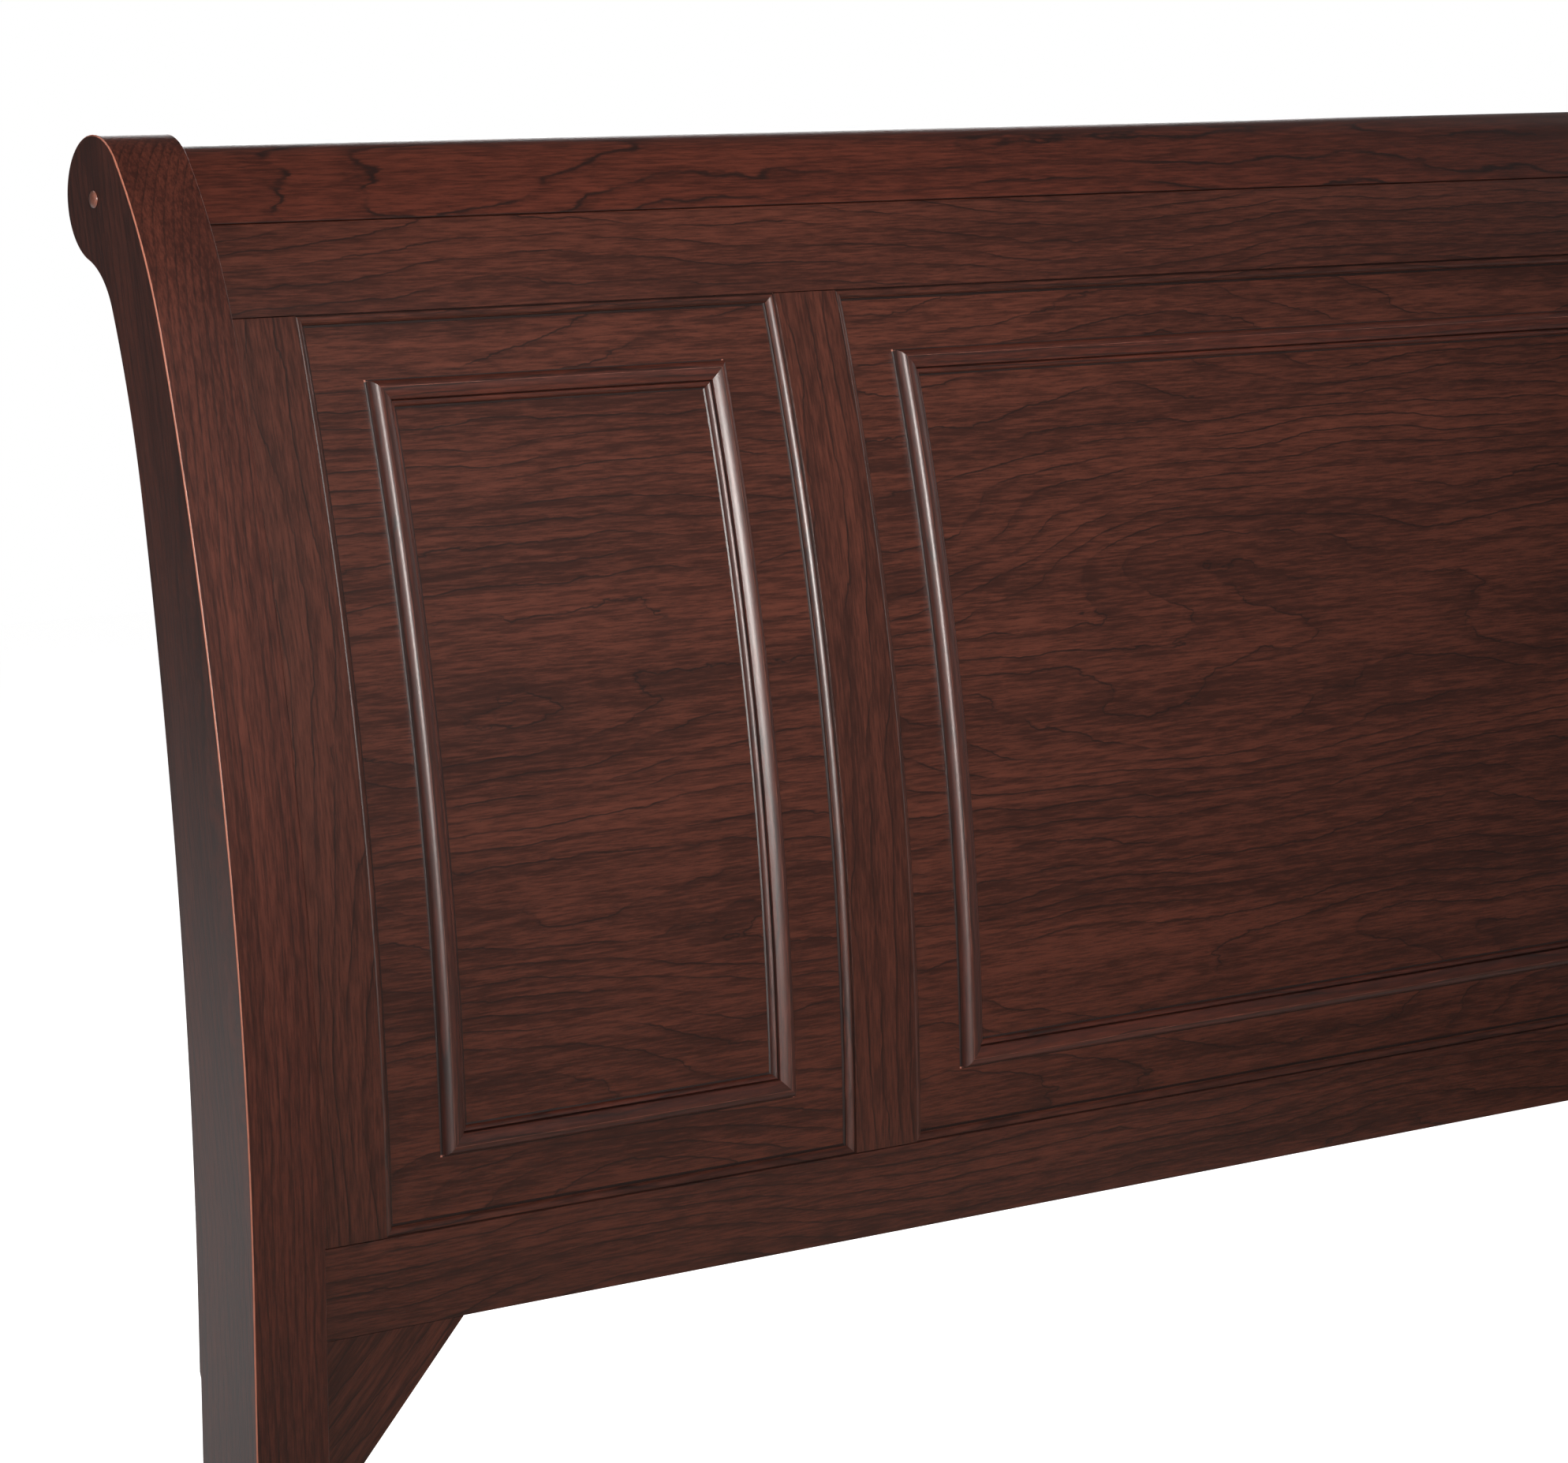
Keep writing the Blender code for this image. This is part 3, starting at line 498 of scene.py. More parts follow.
def eased_box(spans, eased=EASED):
    """Box between two values on each axis, with eased edges, as a bmesh."""
    shaped = bmesh.new()
    bmesh.ops.create_cube(shaped, size=1)
    size = [high - low for low, high in spans]
    middle = [(high + low) / 2 for low, high in spans]
    bmesh.ops.transform(shaped, matrix=Matrix.Translation(middle) @ Matrix.Diagonal(size + [1]),
                        verts=shaped.verts)
    # The eased edges take the default mark: a line of painted shade along each.
    ease_edges(shaped, shaped.edges[:], eased, 2)
    return shaped


def shown(name, shaped):
    """A bmesh turned into an object."""
    mesh = bpy.data.meshes.new(name)
    shaped.to_mesh(mesh)
    shaped.free()
    return show(name, mesh)


def flat_board(name, across, runs, heights):
    """Flat box between two x, two runs and two heights, ready to be bent."""
    shaped = eased_box((across, runs, heights))
    length = runs[1] - runs[0]
    count = max(1, math.ceil(length / BEND_STEP))
    for i in range(1, count):
        bmesh.ops.bisect_plane(shaped, geom=shaped.verts[:] + shaped.edges[:] + shaped.faces[:],
                               plane_co=(0, runs[0] + length * i / count, 0), plane_no=(0, 1, 0))
    return shown(name, shaped)


# By default an eased edge is marked -0.5: painted shade, a dark line where parts meet.
def ease_edges(shaped, edges, width, segments, wear=-0.5):
    """Bevel these edges. The middle of each bevel is rubbed lighter where the mark is above zero, and
    painted with shade where it is below zero.
    """
    # The mark layer holds wear above zero and painted shade below zero.
    worn = shaped.verts.layers.float.get(WEAR_AND_SHADE) or shaped.verts.layers.float.new(WEAR_AND_SHADE)
    made = bmesh.ops.bevel(shaped, geom=edges, offset=width, segments=segments, profile=0.5,
                           affect="EDGES", clamp_overlap=True)
    rounded = set(made["faces"])
    for vertex in made["verts"]:
        if all(face in rounded for face in vertex.link_faces):
            vertex[worn] = wear


# %% [markdown]
# ## Milled edges and planted mouldings
# The inner edges of the frame are milled with an ovolo, a quarter round between two small steps.
# The mouldings on the panels have a rounded back, a sharp line at its top, a long slope and a
# small inner bead, and are mitred at 45 degrees where two of them meet. A thin skirt round each
# is painted dark: painted shade, the moulding's shadow on the panel. Both are the same kind of
# thing, a profile that follows a straight line with slanted ends, so one Geometry Nodes tree makes
# them all: Curve to Mesh sweeps the profile, and a shear pushes each point back from the ends by
# its distance from the outer edge.

# %% The mitred stick
def make_stick_tree():
    inputs = (("Profile", "Object"), ("Length", "Float"), ("Steps", "Int"), ("Turn", "Float"),
              ("Polish", "Float"), ("Start", "Vector"), ("Finish", "Material"))
    tree, given = new_group("mitred_stick", inputs)
    loop = tree.node("GeometryNodeObjectInfo", None, {"Object": given["Profile"]})["Geometry"]
    profile = tree.node("GeometryNodeMeshToCurve", None, {"Mesh": loop})[0]
    length = Value(tree, given["Length"])
    line = tree.node("GeometryNodeCurvePrimitiveLine", None, {"End": tree.vector(0, length, 0)})[0]
    cut = tree.node("GeometryNodeResampleCurve", None, {"Curve": line, "Count": given["Steps"]})[0]
    level = tree.node("GeometryNodeSetCurveNormal", {"mode": "Z_UP"}, {"Curve": cut})[0]
    swept = tree.node("GeometryNodeCurveToMesh", None,
                      {"Curve": level, "Profile Curve": profile, "Fill Caps": True})[0]
    across, along, height = tree.split(tree.node("GeometryNodeInputPosition")[0])
    share = along / length
    sheared = across + (length - across * 2) * share
    moved = tree.node("GeometryNodeSetPosition", None,
                      {"Geometry": swept, "Position": tree.vector(across, sheared, height)})[0]
    near_end = 0.5 - tree.math("ABSOLUTE", share - 0.5)
    line_width = 0.0008
    marked = tree.node("GeometryNodeStoreNamedAttribute", {"data_type": "FLOAT"},
                       {"Geometry": moved, "Name": MITRE,
                        "Value": 1 - near_end * length / line_width})[0]
    milled = tree.node("GeometryNodeStoreNamedAttribute", {"data_type": "FLOAT"},
                       {"Geometry": marked, "Name": MILLED, "Value": given["Polish"]})[0]
    placed = tree.node("GeometryNodeTransform", None,
                       {"Geometry": milled, "Translation": given["Start"],
                        "Rotation": tree.vector(0, 0, given["Turn"])})[0]
    close_group(tree, placed, given["Finish"])
    return tree


STICKS = make_stick_tree()

# %% The two profiles
QUARTER = math.pi / 2


def profile_object(name, points):
    """Closed profile as a guide: points are (distance from the outer edge, height, mark); a mark above zero
    is wear, below zero painted shade.
    """
    mesh = bpy.data.meshes.new(name)
    count = len(points)
    mesh.from_pydata([(across, -height, 0) for across, height, _ in points],
                     [(i, (i + 1) % count) for i in range(count)], [])
    wear = mesh.attributes.new(WEAR_AND_SHADE, "FLOAT", "POINT")
    wear.data.foreach_set("value", [point[2] for point in points])
    item = show(name, mesh)
    GUIDES.append(item)
    return item


def ellipse(centre, radii, start, end, count):
    """Points of an ellipse; angle 0 is its top and a quarter turn its far side."""
    angles = [start + (end - start) * i / count for i in range(count + 1)]
    return [(centre[0] + radii[0] * math.sin(a), centre[1] + radii[1] * math.cos(a), 0.0)
            for a in angles]


def sticking_profile():
    """Ovolo on the edge of a rail, stile or mullion, from the edge's wall to the panel."""
    wall = -0.0002
    # Marks below zero paint shade into the quirk under the edge and along the foot where the ovolo meets the
    # panel; the sharp corner at 0.8 is rubbed lighter.
    quirk = (0.0004, -0.0016, -1.0)
    ovolo = ellipse((0.0008, -0.0047), (0.0044, 0.0034), 0.08, QUARTER * 0.82, 10)
    bottom = -PANEL_DROP + 0.0001
    foot = [(0.0051, -0.0039, 0.8), (0.0053, -0.0055, -1.0), (STICKING_WIDTH, -0.0057, -0.8)]
    points = [(wall, -0.0016, -1.0), quirk] + ovolo + foot
    points += [(STICKING_WIDTH, bottom, -1.0), (wall, bottom, 0)]
    return profile_object("sticking_profile", points[::-1])


def moulding_profile():
    """Rounded back, slope and inner bead, with a skirt of painted shade; heights are above the frame's face.
    """
    foot = -PANEL_DROP + 0.0001
    top = foot + MOULDING_HEIGHT - 0.0003
    # The skirt, a thin sheet 1 mm past each side of the foot, and the groove are marked for painted shade,
    # the moulding's shadow on the panel.
    outer = [(-0.0010, foot, -1.0), (-0.0010, foot + 0.00015, -1.0), (0.0, foot + 0.0002, -1.0),
             (0.0001, foot + 0.0010, -0.7)]
    thumb = ellipse((0.0054, foot + 0.0016), (0.0053, top - foot - 0.0016), -QUARTER, -0.12, 14)
    arris = [(0.0054, top, 0.7)]
    slope = [(0.0056 + 0.0069 * i / 8, top - 0.0004 * i / 8 - 0.0021 * (i / 8) ** 2.2, 0.0)
             for i in range(9)]
    groove = [(0.0127, foot + 0.0042, -0.3), (0.0129, foot + 0.0026, -1.0), (0.0133, foot + 0.0030, 0.0)]
    bead = ellipse((0.0136, foot + 0.0006), (0.0028, 0.0029), 0.05, QUARTER * 0.95, 6)
    inner = [(0.0166, foot + 0.0005, -1.0), (MOULDING_WIDTH + 0.0006, foot + 0.00015, -1.0),
             (MOULDING_WIDTH + 0.0006, foot, -1.0)]
    return profile_object("moulding_profile", (outer + thumb + arris + slope + groove + bead + inner)[::-1])


STICKING = sticking_profile()
MOULDING = moulding_profile()


def stick(name, profile, area, edge, finish):
    """One side of a rectangle of sticks. area is x from, x to, run from, run to."""
    x_low, x_high, low, high = area
    starts = {"left": ((x_low, low), 0), "top": ((x_low, high), -QUARTER),
              "right": ((x_high, high), 2 * QUARTER), "bottom": ((x_high, low), QUARTER)}
    (x, run), turn = starts[edge]
    upright = edge in ("left", "right")
    length = high - low if upright else x_high - x_low
    steps = math.ceil(length / BEND_STEP) + 1
    item = show(name, bpy.data.meshes.new(name))
    polish = 1.0 if upright else 0.15          # duller, so that the level lengths stay dark
    add_group(item, STICKS, {"Profile": profile, "Length": length, "Steps": steps, "Turn": turn,
                             "Polish": polish, "Start": (x, run, 0.0), "Finish": finish})
    return applied(item)


# %% [markdown]
# ## Bending and finishing a piece
# A rail and the ovolo milled on it are one piece of wood, so their meshes are joined while they
# are still flat. Then the piece is bent, its flat faces are given even shading, and it takes the
# place of the plain solid with the same name.

# %% Join, bend, and stand in
def joined(name, items):
    """One object from several."""
    first = items[0]
    if len(items) > 1:
        with bpy.context.temp_override(active_object=first, object=first,
                                       selected_editable_objects=items, selected_objects=items):
            bpy.ops.object.join()
    first.name = name
    return first


def smoothed(item, angle=math.radians(35)):
    """Smooth shading that keeps sharp corners, with flat faces left flat."""
    item.data.shade_smooth()
    item.data.set_sharp_from_angle(angle=angle)
    weighted = item.modifiers.new("even_shading", "WEIGHTED_NORMAL")
    weighted.keep_sharp = True
    return applied(item)


MADE = []


def stand_in(item, node, body="frame"):
    """Let a finished piece ride on its body and replace the plain solid."""
    item.name = node + "_finished"
    item.data.name = item.name
    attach(item, body)
    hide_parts(node)
    MADE.append(item.name)


def bent(board, name, items, finish, turn=0.0, shift=(0.0, 0.0, 0.0)):
    """Bend a flat piece over its board's curve."""
    item = joined(name, items)
    item.data.materials.clear()
    add_group(item, BENDING, {"Sleigh Curve": board.guide, "First Run": -board.straight,
                              "Face Offset": board.face_offset, "Grain Turn": turn,
                              "Grain Shift": shift, "Finish": finish})
    return smoothed(applied(item))


# %% Where the panels are
MARGIN_POST = 0.0415
MARGIN_MULLION = 0.0445
MARGIN_CENTRE = 0.0395
MARGIN_TOP = 0.0415
MARGIN_BOTTOM = 0.0435


def openings(board):
    """Name, opening and frame of mouldings of each panel; a rectangle is x, x, run, run."""
    bottom, top = board.runs[1:3]
    rows = (("left", -STILE_EDGE, -MULLION_OUTER, MARGIN_POST, MARGIN_MULLION),
            ("centre", -MULLION_INNER, MULLION_INNER, MARGIN_CENTRE, MARGIN_CENTRE),
            ("right", MULLION_OUTER, STILE_EDGE, MARGIN_MULLION, MARGIN_POST))
    for side, low, high, first, second in rows:
        opening = (low, high, bottom, top)
        moulded = (low + first, high - second, bottom + MARGIN_BOTTOM, top - MARGIN_TOP)
        yield side, opening, moulded


# %% [markdown]
# ## The frames of both boards
# The rails run the full width and the stiles and mullions stand between them. Each piece takes a
# part of the figure of its own, so that no two look alike, and its fibres run along its length:
# across the bed in the rails and panels, and upwards in the stiles and mullions.

# %% Rails
def make_rails(board):
    bottom, low, high, seam = board.runs
    reach = INNER_FACE - GAP
    rows = (("upper_rail", high, seam - GAP, "top", (0.30, -0.52, 0.0)),
            ("lower_rail", bottom, low, "bottom", (1.70, 0.055, 0.0)))
    for part, first, last, edge, shift in rows:
        name = f"{board.name}_{part}"
        pieces = [flat_board(name, (-reach, reach), (first, last), (-FRAME_THICKNESS, 0.0))]
        for side, opening, _ in openings(board):
            pieces.append(stick(f"{name}_{side}", STICKING, opening, edge, FRAME_CHERRY))
        stand_in(bent(board, name, pieces, FRAME_CHERRY, 0.0, shift), name)


# %% Stiles and mullions
def make_uprights(board):
    bottom, top = board.runs[1:3]
    sides = {side: opening for side, opening, _ in openings(board)}
    uprights = (("stile_left", -INNER_FACE + GAP, -STILE_EDGE, (("left", "left"),)),
                ("mullion_left", -MULLION_OUTER, -MULLION_INNER, (("left", "right"), ("centre", "left"))),
                ("mullion_right", MULLION_INNER, MULLION_OUTER, (("centre", "right"), ("right", "left"))),
                ("stile_right", STILE_EDGE, INNER_FACE - GAP, (("right", "right"),)))
    for index, (part, low, high, edges) in enumerate(uprights):
        name = f"{board.name}_{part}"
        pieces = [flat_board(name, (low, high), (bottom + GAP, top - GAP), (-FRAME_THICKNESS, 0.0))]
        for side, edge in edges:
            pieces.append(stick(f"{name}_{edge}", STICKING, sides[side], edge, FRAME_CHERRY))
        shift = (3.1 * index, 0.16 + 0.05 * index, 0.0)
        stand_in(bent(board, name, pieces, FRAME_CHERRY, QUARTER, shift), name)


# %% Panels
def make_panels(board):
    cuts = {"left": (0.9, -0.335), "centre": (0.0, -0.33), "right": (4.7, -0.30)}
    for side, (x_low, x_high, low, high), _ in openings(board):
        name = f"{board.name}_panel_{side}"
        thickness = (-PANEL_DROP - PANEL_THICKNESS, -PANEL_DROP)
        flat = flat_board(name, (x_low + GAP, x_high - GAP), (low + GAP, high - GAP), thickness)
        stand_in(bent(board, name, [flat], PANEL_CHERRY, 0.0, (*cuts[side], 0.0)), name)


# %% Mouldings
EDGES = ("left", "right", "bottom", "top")


def make_mouldings(board):
    """Headboard sticks stand in one by one, and the footboard's four stand in for one ring."""
    for number, (side, _, moulded) in enumerate(openings(board)):
        panel = f"{board.name}_panel_{side}"
        sticks = []
        for edge in EDGES:
            name = f"{panel}_moulding_{edge}"
            piece = stick(name, MOULDING, moulded, edge, MOULDING_CHERRY)
            turn = QUARTER if edge in ("left", "right") else 0.0
            shift = (0.8 * number + 0.2 * EDGES.index(edge), 0.9 + 0.03 * number, 0.0)
            piece = bent(board, name, [piece], MOULDING_CHERRY, turn, shift)
            if board is HEADBOARD:
                stand_in(piece, name)
            sticks.append(piece)
        if board is FOOTBOARD:
            stand_in(joined(panel + "_ring", sticks), panel + "_moulding")


for board in BOARDS:
    make_rails(board)
    make_uprights(board)
    make_panels(board)
    make_mouldings(board)
print("bent pieces:", len(MADE))

# %% [markdown]
# ## Posts and rolls
# The posts are sawn to the side view of the whole board, scroll and neck included, and the roll
# is a long rail that follows the same scroll a little further in. Both are an outline drawn from
# arcs and pushed across the bed, with every sharp edge eased. The figure runs through the wood
# and doesn't follow its outline: a post's fibres lean with its first bend and then run straight
# on, and a roll's run straight across the bed.

# %% Outlines from arcs
FINE_STEP = 0.008
SCROLL_STEP = math.radians(3)
LAMINATION_HEIGHT = 0.4864
LAMINATION_STEP = 0.0016
LAMINATION_SLOPE = 0.002


def turn_of(board, point):
    """Angle of a point on the scroll, growing from the front over the top."""
    angle = math.atan2(point[1] - board.scroll[1], board.scroll[0] - point[0])
    return angle % (2 * math.pi)


def upper_back_arc(board, knee):
    """Centre and radius of the arc from the knee to the hollow under the scroll."""
    start, end = into_wood(board.back_angle), into_wood(board.neck_angle)
    along = (start[0] - end[0], start[1] - end[1])
    gap = (knee[0] + NECK_RADIUS * end[0] - board.scroll[0],
           knee[1] + NECK_RADIUS * end[1] - board.scroll[1])
    a = along[0] ** 2 + along[1] ** 2
    b = along[0] * gap[0] + along[1] * gap[1]
    c = gap[0] ** 2 + gap[1] ** 2 - (SCROLL_RADIUS + NECK_RADIUS) ** 2
    radius = (-b - math.sqrt(b * b - a * c)) / a
    return stepped(knee, -radius, board.back_angle), radius


def post_outline(board):
    points = [(0.0, 0.0)]
    for centre, radius, start, end in board.arcs:
        points += arc_between(centre, radius, start, end, FINE_STEP / radius)[:-1]
    low_centre = (POST_DEPTH + board.back_radius, board.back_straight)
    knee = stepped(low_centre, board.back_radius, board.back_angle)
    high_centre, radius = upper_back_arc(board, knee)
    neck = stepped(high_centre, radius - NECK_RADIUS, board.neck_angle)
    leave = turn_of(board, neck)
    points += arc_between(board.scroll, SCROLL_RADIUS, board.arcs[-1][3], leave, SCROLL_STEP)
    points += arc_between(neck, NECK_RADIUS, leave - math.pi, board.neck_angle, SCROLL_STEP)[1:]
    points += arc_between(high_centre, radius, board.neck_angle, board.back_angle, FINE_STEP / radius)[1:]
    points += arc_between(low_centre, board.back_radius, board.back_angle, 0,
                          FINE_STEP / board.back_radius)[1:]
    if board is HEADBOARD:
        points += [(POST_DEPTH, LAMINATION_HEIGHT + LAMINATION_SLOPE),
                   (POST_DEPTH - LAMINATION_STEP, LAMINATION_HEIGHT - LAMINATION_SLOPE)]
    return points + [(points[-1][0], 0.0)]


def roll_outline(board):
    """The roll and the tail that reaches down to the seam on the upper rail."""
    radius = SCROLL_RADIUS - ROLL_INSET
    depths = (board.face_offset, board.face_offset + board.lean * -FRAME_THICKNESS)
    near, far = sorted(abs(depth) for depth in depths)
    seam = board.runs[3] + GAP

    def side(depth):
        run = seam
        points = []
        while math.dist(board.at(run, depth), board.scroll) > radius and run < board.length():
            points.append(board.at(run, depth))
            run += FINE_STEP / 4
        return points

    front, back = side(near), side(far)
    start, end = turn_of(board, front[-1]), turn_of(board, back[-1])
    if start > end:
        start -= 2 * math.pi
    return front + arc_between(board.scroll, radius, start, end, SCROLL_STEP)[1:-1] + back[::-1]


# %% Push an outline across the bed
SHARP = math.radians(30)
GRAIN_LEAN_FROM = 0.553
GRAIN_LEAN_TO = 0.93


def pushed(board, name, outline, ends, eased, segments, wear, finish, grain):
    """Solid between x = ends, with its grain attribute worked out point by point."""
    shaped = bmesh.new()
    rings = [[shaped.verts.new((x, board.face_y + board.lean * out, up)) for out, up in outline]
             for x in ends]
    shaped.faces.new(rings[0])
    shaped.faces.new(rings[1][::-1])
    count = len(outline)
    for i in range(count):
        after = (i + 1) % count
        shaped.faces.new((rings[0][i], rings[1][i], rings[1][after], rings[0][after]))
    bmesh.ops.recalc_face_normals(shaped, faces=shaped.faces)
    sharp = [edge for edge in shaped.edges if edge.calc_face_angle(0) > SHARP]
    ease_edges(shaped, sharp, eased, segments, wear)
    # The mark layer holds wear above zero and painted shade below zero.
    worn = shaped.verts.layers.float[WEAR_AND_SHADE]
    outside = HALF_WIDTH - eased
    fibres = shaped.verts.layers.float_vector.new(FIBRES)
    for vertex in shaped.verts:
        vertex[fibres] = grain(vertex.co)
        # Only the outer edges are rubbed lighter; painted shade stays on every edge.
        if abs(vertex.co.x) < outside:
            vertex[worn] = min(vertex[worn], 0.0)
    item = shown(name, shaped)
    item.data.materials.append(finish)
    return smoothed(item)


def post_grain(board, seed):
    """Fibres that follow the post's first bend and run straight on into the scroll."""
    centre, radius, _, _ = board.arcs[0]
    last = math.asin((GRAIN_LEAN_TO - GRAIN_LEAN_FROM) / radius)
    knee = stepped(centre, radius, last)

    def grain(point):
        if point.z <= centre[1]:
            bend = 0.0
        elif point.z < knee[1]:
            bend = radius - math.sqrt(radius ** 2 - (point.z - centre[1]) ** 2)
        else:
            bend = knee[0] + (point.z - knee[1]) * math.tan(last)
        out = board.lean * (point.y - board.face_y) - bend
        return Vector((point.z + 2.3 * seed, point.x + 0.11 * seed, -out))

    return grain


def roll_grain(board):
    return lambda point: Vector((point.x + 0.4, point.z - 1.06, board.lean * (board.face_y - point.y)))


# %% Make the posts and the rolls
POST_EASED = 0.0011
SEAM_EASED = 0.0008
for board in BOARDS:
    for number, (side, sign) in enumerate(SIDES):
        name = f"{board.name}_post_{side}"
        ends = sorted((sign * INNER_FACE, sign * HALF_WIDTH))
        post = pushed(board, name, post_outline(board), ends, POST_EASED, 4, 1.0, POST_CHERRY,
                      post_grain(board, 1 + number + board.lean))
        stand_in(post, name)
    name = f"{board.name}_top_roll"
    reach = INNER_FACE - GAP
    # The roll's eased edges are marked -1.0: painted shade along the seam with the upper rail and at the
    # roll's ends.
    roll = pushed(board, name, roll_outline(board), (-reach, reach), SEAM_EASED, 2, -1.0, ROLL_CHERRY,
                  roll_grain(board))
    stand_in(roll, name)
    print(board.name, "post:", len(post.data.polygons), "faces, roll:", len(roll.data.polygons))

# %% [markdown]
# ## Corner braces and bolt covers
# A three-cornered block is glued into each lower corner of the headboard, a hair behind the rail,
# with its grain along its long side, where it is strongest. A bolt through each post
# holds the roll, and a small domed cover hides it. A dome is a profile turned about an axis.

# %% Braces
def make_braces(board):
    run = board.runs[0] - GAP
    for side, sign in SIDES:
        name = f"{board.name}_brace_{side}"
        corner = sign * (INNER_FACE - GAP)
        corners = [(corner, run), (corner - sign * BRACE_LEG, run), (corner, run - BRACE_HEIGHT)]
        shaped = bmesh.new()
        layers = [[shaped.verts.new((x, along, height)) for x, along in corners]
                  for height in (-BRACE_SETBACK - BRACE_THICKNESS, -BRACE_SETBACK)]
        shaped.faces.new(layers[0])
        shaped.faces.new(layers[1])
        for i in range(3):
            after = (i + 1) % 3
            shaped.faces.new((layers[0][i], layers[0][after], layers[1][after], layers[1][i]))
        bmesh.ops.recalc_face_normals(shaped, faces=shaped.faces)
        # The eased edges take the default mark: a line of painted shade along each.
        ease_edges(shaped, shaped.edges[:], EASED, 2)
        turn = math.atan2(-BRACE_HEIGHT, sign * BRACE_LEG)
        stand_in(bent(board, name, [shown(name, shaped)], FRAME_CHERRY, turn, (0.7, 0.2, 0.0)), name)


make_braces(HEADBOARD)

# %% Turned pieces
ROUND_SIDES = 32


def turned(name, profile, place):
    """Closed round piece: (radius, height) from top to bottom, on the matrix place."""
    shaped = bmesh.new()
    rings = []
    for radius, height in profile:
        count = ROUND_SIDES if radius > 0 else 1
        angles = [2 * math.pi * i / count for i in range(count)]
        rings.append([shaped.verts.new((radius * math.cos(a), radius * math.sin(a), height))
                      for a in angles])
    for upper, lower in zip(rings, rings[1:]):
        for i in range(ROUND_SIDES):
            after = (i + 1) % ROUND_SIDES
            corners = [upper[i % len(upper)], lower[i % len(lower)], lower[after % len(lower)],
                       upper[after % len(upper)]]
            shaped.faces.new(list(dict.fromkeys(corners)))
    bmesh.ops.transform(shaped, matrix=place, verts=shaped.verts)
    bmesh.ops.recalc_face_normals(shaped, faces=shaped.faces)
    return shown(name, shaped)


# %% Bolt covers
def make_plugs(board):
    angles = [QUARTER * i / 8 for i in range(9)]
    profile = [(PLUG_RADIUS * math.sin(a), PLUG_DOME * math.cos(a)) for a in angles]
    profile += [(PLUG_STEM, 0.0), (PLUG_STEM, -PLUG_REACH), (0.0, -PLUG_REACH)]
    for side, sign in SIDES:
        name = f"{board.name}_plug_{side}"
        centre = (sign * (HALF_WIDTH + GAP), board.face_y + board.lean * board.scroll[0],
                  board.scroll[1])
        place = Matrix.Translation(centre) @ Matrix.Rotation(sign * QUARTER, 4, "Y")
        plug = with_grain(turned(name, profile, place), "XZY", PLUG_CHERRY)
        if board is HEADBOARD:
            stand_in(plug, name)
        else:
            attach(plug, "frame")


def with_grain(item, axes, finish, shift=(0.0, 0.0, 0.0)):
    """Give a straight piece its grain: axes names the axis along, across and into the board."""
    order = ["XYZ".index(axis) for axis in axes]
    fibres = item.data.attributes.new(FIBRES, "FLOAT_VECTOR", "POINT")
    values = [vertex.co[i] + moved for vertex in item.data.vertices for i, moved in zip(order, shift)]
    fibres.data.foreach_set("vector", values)
    item.data.materials.append(finish)
    return smoothed(item)


for board in BOARDS:
    make_plugs(board)

# %% [markdown]
# ## The base
# Side rails hang on steel hooks between the boards. A ledger is screwed to the inside of each, and
# four slats lie on the ledgers. The two middle slats stand on legs, whose feet screw in and out to
# find the floor. Rails are the same cherry as the frame, and the hidden parts are plain softwood.

# %% Softwood, zinc and plastic
def softwood():
    material = bpy.data.materials.new("slat_softwood")
    material.use_nodes = True
    tree = Tree(material.node_tree)
    shader = material.node_tree.nodes["Principled BSDF"]
    along, across, depth = tree.split(attribute(tree, FIBRES, "Vector"))
    lines, _ = growth_rings(tree, along, across, depth, 41.0, 160.0, 8.0)
    cloud = noise(tree, tree.vector(along * 4, across * 40, depth * 40), 3.0, 0.6, 43.0)
    body = mix(tree, ramp(tree, cloud, 0.3, 0.7), (0.60, 0.42, 0.23, 1), (0.72, 0.54, 0.33, 1))
    colour = mix(tree, lines * 0.7, body, (0.40, 0.22, 0.09, 1))
    tree.owner.links.new(colour, shader.inputs["Base Color"])
    shader.inputs["Roughness"].default_value = 0.62
    return material


def plain(name, colour, roughness, metallic=0.0, grit=400):
    """Metal or plastic: one colour, with a roughness that varies a little."""
    material = bpy.data.materials.new(name)
    material.use_nodes = True
    tree = Tree(material.node_tree)
    shader = material.node_tree.nodes["Principled BSDF"]
    place = tree.node("ShaderNodeTexCoord")["Object"]
    spread = noise(tree, tree.node("ShaderNodeVectorMath", {"operation": "SCALE"},
                                   {0: place, "Scale": grit})[0], 3.0)
    darker = tuple(part * 0.8 for part in colour[:3]) + (1,)
    tree.owner.links.new(mix(tree, spread, darker, colour), shader.inputs["Base Color"])
    tree.owner.links.new((spread * 0.2 + (roughness - 0.1)).socket, shader.inputs["Roughness"])
    shader.inputs["Metallic"].default_value = metallic
    return material


SOFTWOOD = softwood()
ZINC = plain("zinc_steel", (0.42, 0.42, 0.40, 1), 0.42, 1.0, 60)
BLACK_PLASTIC = plain("black_plastic", (0.025, 0.025, 0.026, 1), 0.55, 0.0, 900)

